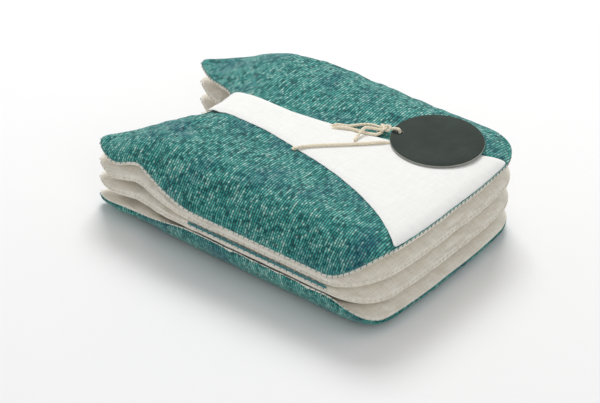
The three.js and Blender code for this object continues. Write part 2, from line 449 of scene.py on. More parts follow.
def edge_distance(places: Array, loop: Array) -> tuple[Array, Array]:
    """Measures how far places are from a closed outline.

    Args:
        places: The places, seen from above.
        loop: The outline's places, in order.

    Returns:
        Each place's distance, and the unit direction from it to the nearest place of the outline.
    """
    along = np.roll(loop, -1, axis=0) - loop
    offset = places[:, None, :] - loop[None, :, :]
    reach = np.clip((offset * along).sum(2) / (along * along).sum(1), 0, 1)
    to_edge = along[None] * reach[..., None] - offset
    distances = np.linalg.norm(to_edge, axis=2)
    nearest = distances.argmin(1)
    rows = np.arange(len(places))
    distance = distances[rows, nearest]
    return distance, to_edge[rows, nearest] / np.maximum(distance, TINY)[:, None]


@dataclass(frozen=True)
class PanelForm:
    """The form of the four stacked panels, in millimetres, as the CAD source gives it."""

    outline: HeadOutline
    names: tuple = ("back_cover", "leaf_2", "leaf_1", "front_cover")
    thickness: float = 13.6
    gap: float = 0.4
    edge_roll: float = 22
    seam_thickness: float = 2
    seam_radius: float = 0.9
    spine_gap: float = 1
    ear_sag_share: float = 0.17
    ear_sag_start: float = 5

    @property
    def spine_x(self) -> float:
        """The seam's axis, seen from above."""
        return -(self.outline.head_width + self.spine_gap + self.seam_radius) / 2 + self.seam_radius

    @property
    def spine_z(self) -> float:
        """The height of the seam's axis, in the middle of the stack."""
        return self.level(0) / 2 + self.level(len(self.names) - 1) / 2

    def level(self, slot: int) -> float:
        """The height of the middle of the panel in a slot."""
        return self.thickness / 2 + slot * (self.thickness + self.gap)

    def roll_share(self, distance: Array) -> Array:
        """A quarter of an ellipse, 0 at a seam and 1 where the padding is at its full thickness."""
        return np.sqrt(1 - (1 - np.clip(distance / self.edge_roll, 0, 1)) ** 2)

    def ear_sag(self, y: Array) -> Array:
        """The share of its height that the stack keeps towards the thinner ears."""
        tip_y = self.outline.crown_y + self.outline.ear_height
        return 1 - self.ear_sag_share * smoothstep(y, self.outline.crown_y - self.ear_sag_start, tip_y)

    def middle(self, places: Array, slot: int) -> Array:
        """The height of the middle of a panel, before the ears sag.

        Args:
            places: The places, seen from above.
            slot: The panel's place in the stack, from 0 at the bottom.

        Returns:
            The heights.
        """
        rise = self.roll_share(places[:, 0] - self.spine_x)
        return self.spine_z + (self.level(slot) - self.spine_z) * rise

    def height(
        self, places: Array, distance: Array, slot: int, side: Side, depth: Array | float = 0.0
    ) -> Array:
        """The height of a panel's cloth.

        Args:
            places: The places, seen from above.
            distance: Each place's distance from the outline.
            slot: The panel's place in the stack.
            side: Its upper or its lower cloth.
            depth: How far under the cloth, as one number or one for each place.

        Returns:
            The heights.
        """
        seam_half = self.seam_thickness / 2
        half = seam_half + (self.thickness / 2 - seam_half) * self.roll_share(distance)
        return (self.middle(places, slot) + side.value * (half - depth)) * self.ear_sag(places[:, 1])


@dataclass(frozen=True)
class FlatNet:
    """A triangle net over an outline, seen from above. Its first places go round the rim."""

    places: Array
    triangles: Array
    rim_count: int
    distance: Array
    outward: Array


def flat_net(loop: Array, spacing: float, insets: tuple, seed: int) -> FlatNet:
    """Covers an outline with triangles of about one size, finer near the rim.

    Args:
        loop: The outline, counter-clockwise.
        spacing: The distance between the inner places.
        insets: Distances from the rim of the loops beside it.
        seed: The seed of the small shifts that keep the net from lining up.

    Returns:
        The net.
    """
    inward = inward_directions(loop)
    beside = [loop + inward * inset for inset in insets]
    beside = [ring[edge_distance(ring, loop)[0] > RING_SHARE * inset] for ring, inset in zip(beside, insets)]
    low, high = loop.min(0), loop.max(0)
    rows = np.arange(low[1], high[1], spacing * math.sqrt(0.75))
    columns = np.arange(low[0], high[0], spacing)
    grid = np.array([(x + spacing / 2 * (row % 2), y) for row, y in enumerate(rows) for x in columns])
    grid = grid + np.random.default_rng(seed).uniform(-NET_SHIFT, NET_SHIFT, grid.shape) * spacing
    grid = grid[inside_outline(grid, loop)]
    room = (insets[-1] if insets else 0) + spacing * NET_ROOM
    grid = grid[edge_distance(grid, loop)[0] > room]
    given = np.vstack([loop, *beside, grid])
    edges = [(index, (index + 1) % len(loop)) for index in range(len(loop))]
    places, _, faces, *_ = delaunay_2d_cdt([Vector(place) for place in given], edges, [], 1, 1e-6, False)
    places, triangles = np.array(places), np.array(faces)
    triangles = triangles[inside_outline(places[triangles].mean(axis=1), loop)]
    distance, outward = edge_distance(places, loop)
    return FlatNet(places, triangles, len(loop), distance, outward)


def inside_outline(places: Array, loop: Array) -> Array:
    """Tells which places are inside a closed outline.

    Args:
        places: The places, seen from above.
        loop: The outline's places, in order.

    Returns:
        True for each place inside.
    """
    start, end = loop, np.roll(loop, -1, axis=0)
    x, y = places[:, :1], places[:, 1:]
    spans = (start[:, 1] > y) != (end[:, 1] > y)
    rise = np.where(end[:, 1] == start[:, 1], 1, end[:, 1] - start[:, 1])
    crossing = start[:, 0] + (y - start[:, 1]) / rise * (end[:, 0] - start[:, 0])
    return (spans & (x < crossing)).sum(1) % 2 == 1


def closed_shell(net: FlatNet, upper: Array, lower: Array, rim: Array) -> tuple[Array, list]:
    """Closes two sheets over one net with a rim between them.

    Args:
        net: The net that both sheets share.
        upper: The upper sheet's places.
        lower: The lower sheet's places.
        rim: One place between the sheets for each of the net's rim places.

    Returns:
        The vertices, upper, lower and rim in that order, and the faces, turned outwards. Upper faces come
        first, then as many lower ones, then the rim's upper and lower quads in turn.
    """
    count, rim_count = len(net.places), net.rim_count
    faces = net.triangles.tolist()
    faces += [[count + c, count + b, count + a] for a, b, c in net.triangles.tolist()]
    for index in range(rim_count):
        after = (index + 1) % rim_count
        middle, middle_after = 2 * count + index, 2 * count + after
        faces.append([middle, middle_after, after, index])
        faces.append([count + index, count + after, middle_after, middle])
    return np.vstack([upper, lower, rim]), faces


@dataclass(frozen=True)
class RollLength:
    """How much longer the cloth is, along its roll to the seam, than the ground that it covers."""

    edge_roll: float
    samples: int = 400

    def extra(self, distance: Array, rise: Array) -> Array:
        """The extra cloth between a place and the flat middle of the panel.

        Args:
            distance: The distance from the seam.
            rise: The height of the roll.

        Returns:
            The extra lengths.
        """
        moments = np.linspace(0, math.pi / 2, self.samples)
        across, up = np.sin(moments), np.cos(moments)
        extras = []
        for place, height in zip(np.clip(distance / self.edge_roll, 0, 1), rise):
            within = np.arccos(1 - place) if place < 1 else math.pi / 2
            kept = moments >= within
            step = moments[1] - moments[0]
            speed = np.sqrt((self.edge_roll * across[kept]) ** 2 + (height * up[kept]) ** 2)
            extras.append(speed.sum() * step - self.edge_roll * (1 - place))
        return np.array(extras)


@dataclass
class ClothPanel:
    """One padded panel: two cloths turned out round wadding, with a pinched seam along its rim."""

    form: PanelForm
    net: FlatNet
    slot: int
    upper_finish: Material
    lower_finish: Material
    hidden_nodes: tuple
    swell_room: float = 0.1
    groove_depth: float = 0.9
    start_inset: float = 1.3
    sideways_limit: float = 1.0
    fill: float = 0.7
    frames: int = 20
    quality: int = 6
    pressure: float = 4.0
    slack_share: float = 0.02
    softness: float = 0.6
    film_cover: float = 1.05
    vertex_mass: float = 0.02
    stiffness: float = 8.0
    bending: float = 0.4

    @property
    def body(self) -> str:
        """The body that the panel rides on."""
        return self.form.names[self.slot]

    def build(self) -> Object:
        """Builds, swells and dresses the panel.

        Returns:
            The finished piece.
        """
        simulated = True
        inset = self.start_inset * self.form.roll_share(self.net.distance) if simulated else 0.0
        points, faces = self.shell(inset)
        materials = [self.upper_finish, self.lower_finish]
        piece = new_object(f"{self.body}_padding", points, faces, materials)
        self.lay_cloth(piece)
        if simulated:
            self.keep_in_space(piece, self.swell(piece))
        refine(piece)
        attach(piece, self.body)
        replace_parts(piece, *self.hidden_nodes)
        return piece

    def shell(self, inset: Array | float) -> tuple[Array, list]:
        """Gives the panel's closed shell before it swells.

        Args:
            inset: How far each cloth starts inside its final space.

        Returns:
            Vertices and faces, as closed_shell gives them.
        """
        net, form = self.net, self.form
        sheets = [
            np.column_stack([net.places, form.height(net.places, net.distance, self.slot, side, inset)])
            for side in (Side.UPPER, Side.LOWER)
        ]
        rim_places = net.places[: net.rim_count]
        groove = rim_places + inward_directions(rim_places) * self.groove_depth
        rim_heights = (sheets[0][: net.rim_count, 2] + sheets[1][: net.rim_count, 2]) / 2
        return closed_shell(net, *sheets, np.column_stack([groove, rim_heights]))

    def cloth_places(self, side: Side) -> Array:
        """Gives each net place its place on the flat cloth, so that the weave follows the rolled rim.

        Args:
            side: The upper or the lower cloth.

        Returns:
            Places on the flat cloth, in millimetres.
        """
        net, form = self.net, self.form
        roll = RollLength(form.edge_roll)
        half = np.full(len(net.places), form.thickness / 2 - form.seam_thickness / 2)
        outward = net.outward * roll.extra(net.distance, half)[:, None]
        at_spine = np.clip(-net.outward[:, 0], 0, 1)
        from_spine = net.places[:, 0] - form.spine_x
        rise = np.abs(side.value * half * at_spine + form.level(self.slot) - form.spine_z)
        towards_spine = roll.extra(from_spine, half * at_spine) - roll.extra(from_spine, rise)
        return net.places + outward + np.column_stack([towards_spine, np.zeros(len(half))])

    def lay_cloth(self, piece: Object) -> None:
        """Gives the faces their cloth and their place on it.

        Args:
            piece: The panel.
        """
        net = self.net
        count, rim_count, triangles = len(net.places), net.rim_count, len(net.triangles)
        flat = {side: self.cloth_places(side) for side in Side}
        rim_step_out = net.outward[:rim_count] * self.form.seam_thickness / 2
        layer = piece.data.uv_layers.new(name=CLOTH_UV)
        for polygon in piece.data.polygons:
            in_rim = polygon.index - 2 * triangles
            upper = in_rim % 2 == 0 if in_rim >= 0 else polygon.index < triangles
            polygon.material_index = 0 if upper else 1
            places = flat[Side.UPPER if upper else Side.LOWER]
            for loop_index in polygon.loop_indices:
                vertex = piece.data.loops[loop_index].vertex_index
                on_rim = vertex >= 2 * count
                index = vertex - 2 * count if on_rim else vertex % count
                place = places[index] + (rim_step_out[index] if on_rim else 0)
                layer.data[loop_index].uv = place * MM

    def swell(self, piece: Object) -> Array:
        """Blows the panel up with cloth simulation, held along its seam.

        Args:
            piece: The panel, with its start shape.

        Returns:
            The vertices' places after the last frame, in millimetres.
        """
        count, rim_count = len(self.net.places), self.net.rim_count
        held = piece.vertex_groups.new(name="seam")
        rims = [*range(rim_count), *range(count, count + rim_count), *range(2 * count, 2 * count + rim_count)]
        held.add(rims, 1.0, "REPLACE")
        cloth = piece.modifiers.new("Swelling", "CLOTH")
        settings = cloth.settings
        settings.quality = self.quality
        settings.mass = self.vertex_mass
        settings.tension_stiffness = settings.compression_stiffness = self.stiffness
        settings.shear_stiffness = self.stiffness / 2
        settings.bending_stiffness = self.bending
        settings.use_pressure = True
        settings.uniform_pressure_force = self.pressure
        settings.shrink_min = -self.slack_share
        settings.effector_weights.gravity = 0
        settings.vertex_group_mass = held.name
        cloth.point_cache.frame_start = 1
        cloth.point_cache.frame_end = self.frames
        for frame in range(1, self.frames + 1):
            bpy.context.scene.frame_set(frame)
        graph = bpy.context.evaluated_depsgraph_get()
        places = mesh_places(piece.evaluated_get(graph).data)
        piece.modifiers.remove(cloth)
        piece.vertex_groups.remove(held)
        bpy.context.scene.frame_set(1)
        return places

    def room(self, places: Array, side: Side) -> Array:
        """Says how far a cloth may stand proud of its own space.

        Args:
            places: The places, seen from above.
            side: The upper or the lower cloth.

        Returns:
            The room over each place, in millimetres.
        """
        if side is Side.LOWER and self.slot == 0:
            return np.zeros(len(places))
        return np.full(len(places), self.swell_room)

    def keep_in_space(self, piece: Object, swollen: Array) -> None:
        """Moves the panel's vertices to their swollen places, kept inside the panel's own space.

        The crinkle film lies just inside the lower cloth, so that cloth is kept from sinking through it.

        Args:
            piece: The panel.
            swollen: Where the simulation put its vertices, in millimetres.
        """
        net, form = self.net, self.form
        count = len(net.places)
        start = mesh_places(piece.data)
        moved = swollen - start
        sideways = np.linalg.norm(moved[:, :2], axis=1)
        moved[:, :2] *= np.minimum(1, self.sideways_limit / np.maximum(sideways, TINY))[:, None]
        ended = start + moved
        loop = net.places[: net.rim_count]
        for side, first in ((Side.UPPER, 0), (Side.LOWER, count)):
            ground = ended[first : first + count, :2]
            distance = np.where(inside_outline(ground, loop), edge_distance(ground, loop)[0], 0)
            limit = form.height(ground, distance, self.slot, side, -self.room(ground, side))
            spare = (limit - ended[first : first + count, 2]) * side.value
            eased = (spare + np.sqrt(spare**2 + self.softness**2)) / 2
            eased = np.where(net.distance < self.softness, np.maximum(spare, 0), eased)
            mean, most = eased.mean(), eased.max()
            LOG.info("%s %s: mean %.2f, most %.2f mm under its limit", piece.name, side.name, mean, most)
            if side is Side.LOWER:
                eased = self.film_cover * np.tanh(eased / self.film_cover)
            ended[first : first + count, 2] = limit - eased * side.value
        piece.data.vertices.foreach_set("co", (ended * MM).astype(np.float32).ravel())
        piece.data.update()


@dataclass
class FrontCover(ClothPanel):
    """The front cover. Its face may swell a little, but not where the band, twine and tag lie."""

    face_swell: float = 1.2
    quiet_half_width: float = 24.0
    quiet_spread_share: float = 0.36
    quiet_blur: float = 10.0
    ear_blur: float = 20.0

    def room(self, places: Array, side: Side) -> Array:
        """Says how far a cloth may stand proud of its own space.

        Args:
            places: The places, seen from above.
            side: The upper or the lower cloth.

        Returns:
            The room over each place, in millimetres.
        """
        if side is Side.LOWER:
            return np.full(len(places), self.swell_room)
        outline = self.form.outline
        spread = np.clip(-places[:, 1], 0, None) * self.quiet_spread_share
        beyond = np.abs(places[:, 0] - outline.centre_x) - self.quiet_half_width - spread
        free = smoothstep(beyond, 0, self.quiet_blur)
        ears = 1 - smoothstep(places[:, 1], outline.crown_y - self.ear_blur, outline.crown_y + self.ear_blur)
        return self.face_swell * free * ears


@dataclass
class FaceBand:
    """The white band that runs down the middle of the face, over the front cover's cloth."""

    form: PanelForm
    finish: Material
    cover: Object
    thickness: float = 0.8
    gap: float = 0.3
    overrun: float = 8
    crown_half: float = 11.5
    brow_half: float = 11.8
    nose_half: float = 15.6
    cheek_half: float = 16.5
    chin_spread: float = 7
    brow_drop: float = 40
    nose_drop: float = 64
    nose_step: float = 2.5
    cheek_hollow: float = 7.9
    net_spacing: float = 2.2
    edge_step: float = 1.6
    rim_insets: tuple = (0.7,)
    edge_bulge: float = 0.12
    edge_press: float = 0.4
    edge_width: float = 2.0
    corner_rounds: int = 3
    end_inset: float = 0.15
    end_search: float = 6
    head_step: float = 0.5
    slope_step: float = 0.8
    rim_quiet: tuple = (4, 12)
    drop_limits: tuple = (-0.2, 1.6)
    calm_rounds: int = 3

    def build(self) -> Object:
        """Builds the band on the cover's finished face.

        Returns:
            The finished piece.
        """
        loop = self.loop()
        net = flat_net(loop, self.net_spacing, self.rim_insets, SEED)
        ground, normal = self.face(net)
        pressed = self.edge_press + (1 - self.edge_press) * smoothstep(net.distance, 0, self.edge_width)
        lower = ground + normal * (self.gap * pressed)[:, None]
        upper = ground + normal * ((self.gap + self.thickness) * pressed)[:, None]
        rim_count = net.rim_count
        bulge = np.column_stack([net.outward[:rim_count], np.zeros(rim_count)]) * self.edge_bulge
        rim = (lower[:rim_count] + upper[:rim_count]) / 2 + bulge
        points, faces = closed_shell(net, upper, lower, rim)
        piece = new_object("face_band_cloth", points, faces, [self.finish])
        layer = piece.data.uv_layers.new(name=CLOTH_UV)
        corners = np.array([piece.data.loops[i].vertex_index for i in range(len(piece.data.loops))])
        layer.data.foreach_set("uv", (points[corners, :2] * MM).astype(np.float32).ravel())
        refine(piece)
        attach(piece, "front_cover")
        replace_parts(piece, "face_band")
        return piece

    def loop(self) -> Array:
        """Draws the band's outline, cut off where the head ends.

        Returns:
            Places round the band, counter-clockwise.
        """
        outline = self.form.outline
        crown_y, chin_y = outline.crown_y, outline.chin_y
        nose_y = crown_y - self.nose_drop
        chin_half = outline.half_width - outline.chin_inset + self.chin_spread
        chin = (chin_half, chin_y - self.overrun)
        cheek = (self.cheek_half, nose_y - self.nose_step)
        step = self.edge_step
        nose = (self.nose_half, nose_y)
        brow = (self.brow_half, crown_y - self.brow_drop)
        stretches = [
            bowed_edge(chin, cheek, -self.cheek_hollow, step),
            bowed_edge(cheek, nose, 0, step)[1:],
            bowed_edge(nose, brow, 0, step)[1:],
            bowed_edge(brow, (self.crown_half, crown_y + self.overrun), 0, step)[1:],
        ]
        right = np.vstack(stretches)
        for _ in range(self.corner_rounds):
            right[1:-1] = right[1:-1] * 0.5 + (right[:-2] + right[2:]) * 0.25
        head = outline.loop(self.head_step) - [outline.centre_x, 0]
        right = right[inside_outline(right, head)]
        half_ends = [self.end_row(head, right[index], step) for index in (0, -1)]
        left = right[::-1] * [-1, 1]
        crown_end, chin_end = half_ends[1], half_ends[0][::-1]
        return np.vstack([right, crown_end, left, chin_end]) + [outline.centre_x, 0]

    def end_row(self, head: Array, corner: Array, step: float) -> Array:
        """Follows the head's outline across one end of the band.

        Args:
            head: The head's outline, centred.
            corner: The band's right corner at that end.
            step: The distance between the places returned.

        Returns:
            Places from the right corner to the left one, both left out.
        """
        count = max(4, round(2 * corner[0] / step))
        across = np.linspace(corner[0], -corner[0], count + 1)[1:-1]
        beside = np.abs(head[:, 0]) < corner[0] + self.end_search
        near = head[beside & (np.sign(head[:, 1]) == np.sign(corner[1]))]
        near = near[np.argsort(near[:, 0])]
        inset = self.end_inset * np.sign(corner[1])
        return np.column_stack([across, np.interp(across, near[:, 0], near[:, 1]) - inset])

    def face(self, net: FlatNet) -> tuple[Array, Array]:
        """Finds the cover's face under the band.

        Args:
            net: The band's net.

        Returns:
            The places on the face and the directions away from it.
        """
        form, slot = self.form, len(self.form.names) - 1
        head = form.outline.loop(1.0)
        places = net.places

        def form_height(ground: Array) -> Array:
            distance = np.where(inside_outline(ground, head), edge_distance(ground, head)[0], 0)
            return form.height(ground, distance, slot, Side.UPPER)

        step = self.slope_step
        slopes = [
            (form_height(places + shift) - form_height(places - shift)) / (2 * step)
            for shift in (np.array([step, 0]), np.array([0, step]))
        ]
        normal = unit_rows(np.column_stack([-slopes[0], -slopes[1], np.ones(len(places))]))
        planned = form_height(places)
        found = planned.copy()
        graph = bpy.context.evaluated_depsgraph_get()
        tree = BVHTree.FromObject(self.cover, graph)
        for index, (x, y) in enumerate(places):
            below = height_below(tree, x, y)
            if below is not None:
                found[index] = below
        near_rim = smoothstep(edge_distance(places, head)[0], *self.rim_quiet)
        drop = np.clip(planned - found, *self.drop_limits) * near_rim
        drop = self.calmed(net, drop)
        return np.column_stack([places, planned - drop]), normal

    def calmed(self, net: FlatNet, values: Array) -> Array:
        """Smooths values over the net, as the band's stiffer cloth bridges small dips."""
        ends = np.vstack([net.triangles[:, [0, 1]], net.triangles[:, [1, 2]], net.triangles[:, [2, 0]]])
        for _ in range(self.calm_rounds):
            total, count = np.zeros(len(values)), np.zeros(len(values))
            np.add.at(total, ends[:, 0], values[ends[:, 1]])
            np.add.at(count, ends[:, 0], 1)
            around = np.where(count > 0, total / np.maximum(count, 1), values)
            values = np.minimum(values, around * 0.5 + values * 0.5)
        return values


@dataclass
class SpineFlange:
    """The flat edge of a panel's cloth, between its padding and the seam's thread that passes through it."""

    form: PanelForm
    slot: int
    finish: Material
    rim_thickness: float = 1.6
    seam_thickness: float = 0.5
    tuck: float = 1.2
    end_taper: float = 7
    end_round: float = 5
    end_reach: float = 2.6
    rows: int = 9
    step: float = 2.0
    thread_room: float = 0.95
    crimp: float = 0.22
    crimp_pitch: float = 8.0
    thinning: float = 1.5
    samples: int = 2000
    cloth_start: float = 40

    def build(self) -> Object:
        """Builds the flange from the seam's thread to inside the panel's rim.

        Returns:
            The finished piece.
        """
        form, outline = self.form, self.form.outline
        body = form.names[self.slot]
        lean = form.level(self.slot) - form.spine_z
        rim_reach = form.seam_radius + form.spine_gap + self.tuck
        reaches = self.reaches(lean, rim_reach)
        ys = np.arange(outline.cheek_low_y, outline.cheek_high_y + self.step / 2, self.step)
        centre = np.array([[self.place(reach, lean, y) for y in ys] for reach in reaches])
        along = np.gradient(centre[:, 0], axis=0)
        facing = unit_rows(np.column_stack([-along[:, 2], along[:, 0]]))
        share = np.linspace(0, 1, self.rows)
        half = (self.seam_thickness + (self.rim_thickness - self.seam_thickness) * share**self.thinning) / 2
        sheets = []
        for side in (1, -1):
            shift = facing * half[:, None] * side
            shift = np.column_stack([shift[:, 0], np.zeros(self.rows), shift[:, 1]])
            sheets.append(centre + shift[:, None, :])
        columns = len(ys)
        points = np.vstack([sheet.reshape(-1, 3) for sheet in sheets])
        faces = self.faces(columns)
        piece = new_object(f"{body}_spine_flange", points, faces, [self.finish])
        self.lay_cloth(piece, reaches, columns, ys)
        recalculate_normals(piece)
        refine(piece)
        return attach(piece, body)

    def reaches(self, lean: float, rim_reach: float) -> Array:
        """Spaces the flange's rows evenly along its curve, from the thread to the rim."""
        fine = np.linspace(0, rim_reach, self.samples)
        heights = lean * self.form.roll_share(fine)
        clear = np.hypot(fine, heights) >= self.thread_room
        fine, heights = fine[clear], heights[clear]
        length = np.concatenate([[0], np.cumsum(np.hypot(np.diff(fine), np.diff(heights)))])
        return np.interp(np.linspace(0, length[-1], self.rows), length, fine)

    def place(self, reach: float, lean: float, y: float) -> tuple[float, float, float]:
        """One place of the flange's middle, round at its ends and crimped where the thread pulls it in."""
        form, outline = self.form, self.form.outline
        from_end = min(y - outline.cheek_low_y, outline.cheek_high_y - y)
        rounding = 1 - math.sqrt(1 - (1 - min(max(from_end, 0) / self.end_round, 1)) ** 2)
        reach += (self.end_reach - reach) * rounding if reach < self.end_reach else 0
        height = lean * float(form.roll_share(np.array(reach)))
        pulled = self.crimp * math.cos(2 * math.pi * y / self.crimp_pitch) * min(1, from_end / self.end_taper)
        pulled *= math.sin(math.pi * min(reach / 2, 1))
        return (form.spine_x + reach + pulled, y, form.spine_z + height)

    def faces(self, columns: int) -> list:
        """The faces of both sides of the flange and of its four edges."""
        rows = self.rows
        other = rows * columns
        faces = []
        for row in range(rows - 1):
            for column in range(columns - 1):
                a = row * columns + column
                quad = [a, a + 1, a + columns + 1, a + columns]
                faces.append(quad)
                faces.append([other + index for index in reversed(quad)])
        top, last = (rows - 1) * columns, columns - 1
        edge = [*range(columns)]
        edge += [row * columns + last for row in range(1, rows)]
        edge += [top + column for column in range(last - 1, -1, -1)]
        edge += [row * columns for row in range(rows - 2, 0, -1)]
        for index, a in enumerate(edge):
            b = edge[(index + 1) % len(edge)]
            faces.append([a, other + a, other + b, b])
        return faces

    def lay_cloth(self, piece: Object, reaches: Array, columns: int, ys: Array) -> None:
        """Gives the faces their place on the cloth, by the length along the flange."""
        heights = (self.form.level(self.slot) - self.form.spine_z) * self.form.roll_share(reaches)
        along = np.concatenate([[0], np.cumsum(np.hypot(np.diff(reaches), np.diff(heights)))])
        layer = piece.data.uv_layers.new(name=CLOTH_UV)
        for loop in piece.data.loops:
            index = loop.vertex_index % (self.rows * columns)
            row, column = divmod(index, columns)
            across = self.form.spine_x - self.cloth_start + along[row]
            layer.data[loop.index].uv = (across * MM, ys[column] * MM)


def recalculate_normals(piece: Object) -> None:
    """Turns all faces of a closed piece outwards.

    Args:
        piece: The piece.
    """
    mesh = bmesh.new()
    mesh.from_mesh(piece.data)
    bmesh.ops.recalc_face_normals(mesh, faces=mesh.faces)
    mesh.to_mesh(piece.data)
    mesh.free()
    piece.data.update()


@dataclass(frozen=True)
class TwineShape:
    """The form of the twisted twine, in millimetres."""

    radius: float = 0.9
    plies: int = 3
    lay_length: float = 6.0
    groove_share: float = 0.3
    sides: int = 21
    ring_step: float = 0.35
    end_share: float = 0.02
    lobe_power: float = 0.7

    def tube(self, path: Array) -> tuple[Array, list, Array]:
        """Twists the plies round a path.

        Args:
            path: The twine's centreline, closely spaced.

        Returns:
            Vertices, faces, and each vertex's length along the twine and turn round it.
        """
        lengths = lengths_along(path)
        across, up = transported_frames(path)
        turns = np.arange(self.sides) / self.sides * 2 * math.pi
        ends = np.minimum(lengths, lengths[-1] - lengths) / self.radius
        swell = np.sqrt(1 - (1 - np.clip(ends, self.end_share, 1)) ** 2)
        twist = turns[None, :] - 2 * math.pi * lengths[:, None] / self.lay_length
        lobes = np.abs(np.cos(self.plies / 2 * twist)) ** self.lobe_power
        radii = self.radius * (1 - self.groove_share + self.groove_share * lobes) * swell[:, None]
        rings = (
            path[:, None, :]
            + across[:, None, :] * (np.cos(turns)[None, :] * radii)[..., None]
            + up[:, None, :] * (np.sin(turns)[None, :] * radii)[..., None]
        )
        points = np.vstack([rings.reshape(-1, 3), path[:1], path[-1:]])
        spread = np.column_stack([np.repeat(lengths, self.sides), np.tile(turns, len(path))])
        return points, self.faces(len(path)), spread

    def faces(self, ring_count: int) -> list:
        """The faces of a closed tube of ring_count rings with a point at each end."""
        sides = self.sides
        start, end = ring_count * sides, ring_count * sides + 1
        faces = []
        for side in range(sides):
            after = (side + 1) % sides
            for ring in range(ring_count - 1):
                low, high = ring * sides, (ring + 1) * sides
                faces.append([low + side, low + after, high + after, high + side])
            faces.append([start, after, side])
            faces.append([end, end - 1 - sides + side, end - 1 - sides + after])
        return faces


def transported_frames(path: Array) -> tuple[Array, Array]:
    """Carries a pair of directions along a path without twisting them.

    Args:
        path: The path's places.

    Returns:
        Two unit directions square to the path at each place.
    """
    tangents = unit_rows(np.gradient(path, axis=0))
    first = np.cross(tangents[0], [0, 0, 1])
    if np.linalg.norm(first) < 0.1:
        first = np.cross(tangents[0], [0, 1, 0])
    across = [first / np.linalg.norm(first)]
    for tangent in tangents[1:]:
        carried = across[-1] - tangent * np.dot(across[-1], tangent)
        across.append(carried / np.linalg.norm(carried))
    across = np.array(across)
    return across, np.cross(tangents, across)


@dataclass
class HangTag:
    """The round card tag, with the loop of twine that goes through its hole."""

    form: PanelForm
    finish: Material
    edge_finish: Material
    radius: float = 25.5
    thickness: float = 1.0
    centre_x: float = 37.6
    centre_drop: float = 118.8
    level: float = 57.0
    hole_radius: float = 1.9
    hole_inset: float = 4.4
    turn: float = 108.5
    edge_round: float = 0.12
    sides: int = 144
    rings: int = 10
    to_knot: float = 3.9
    knot_reach: float = 3.4
    rim_gap: float = 0.3
    loop_rise: float = 0.6

    @property
    def towards_knot(self) -> Array:
        """The direction from the tag's middle to the knot, seen from above."""
        angle = math.radians(self.turn)
        return np.array([math.cos(angle), math.sin(angle), 0.0])

    @property
    def centre(self) -> Array:
        """The middle of the tag's underside."""
        return np.array([self.centre_x, self.form.outline.crown_y - self.centre_drop, self.level])

    def knot_place(self, lift: float) -> Array:
        """The knot's middle, lifted over the level of the tag's underside."""
        return self.centre + self.towards_knot * (self.radius + self.to_knot) + [0, 0, lift]

    def build(self) -> Object:
        """Builds the card disc with its punched hole.

        Returns:
            The finished piece.
        """
        turns = np.arange(self.sides) / self.sides * 2 * math.pi + math.radians(self.turn)
        circle = np.column_stack([np.cos(turns), np.sin(turns)])
        middle = self.towards_knot[:2] * (self.radius - self.hole_inset)
        loops = []
        for share in np.linspace(0, 1, self.rings) ** 1.5:
            radius = self.hole_radius + (self.radius - self.hole_radius) * share
            loops.append(middle * (1 - share) + circle * radius)
        points, faces = self.disc(loops)
        piece = new_object("hang_tag_card", points + self.centre, faces, [self.finish, self.edge_finish])
        recalculate_normals(piece)
        face_count = 2 * (self.rings - 1) * self.sides
        for polygon in piece.data.polygons:
            polygon.material_index = 0 if polygon.index < face_count else 1
        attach(piece, "hang_tag")
        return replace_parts(piece, "hang_tag")

    def disc(self, loops: list) -> tuple[Array, list]:
        """Closes the tag from loops between its hole and its rim.

        Args:
            loops: Places of each loop, from the hole outwards.

        Returns:
            Vertices and faces, with the top and bottom faces first and the rounded edges last.
        """
        sides, rings, round_off = self.sides, self.rings, self.edge_round
        flat = np.array(loops)
        outward = flat[-1] / self.radius
        hole_outward = (flat[0] - flat[0].mean(0)) / self.hole_radius
        top = flat.copy()
        top[0] += hole_outward * round_off
        top[-1] -= outward * round_off
        layers = []
        for height in (self.thickness, 0):
            layers.append(np.dstack([top, np.full((rings, sides), height)]).reshape(-1, 3))
        edges = []
        for ring in (flat[0], flat[-1]):
            for height in (self.thickness - round_off, round_off):
                edges.append(np.column_stack([ring, np.full(sides, height)]))
        points = np.vstack([*layers, *edges])
        under, edge_start = rings * sides, 2 * rings * sides
        faces = []
        for lower in (0, under):
            for ring in range(rings - 1):
                faces += ring_quads(lower + ring * sides, lower + (ring + 1) * sides, sides)
        for end, inner in ((0, edge_start), ((rings - 1) * sides, edge_start + 2 * sides)):
            faces += ring_quads(end, inner, sides)
            faces += ring_quads(inner, inner + sides, sides)
            faces += ring_quads(inner + sides, under + end, sides)
        return points, faces

    def loop_path(self, shape: TwineShape) -> Array:
        """Draws the twine's way from the knot over the rim and down into the hole."""
        reach = self.to_knot + self.hole_inset
        over = self.thickness + self.rim_gap + shape.radius
        stops = (
            (self.knot_reach, over),
            ((self.knot_reach + reach) / 2, over + self.loop_rise),
            (reach - self.rim_gap, over + self.loop_rise / 3),
            (reach, self.thickness / 2),
            (reach, self.rim_gap / 3),
        )
        knot = self.knot_place(0)
        places = [knot - self.towards_knot * away + [0, 0, height] for away, height in stops]
        return spline(np.array(places), shape.ring_step)


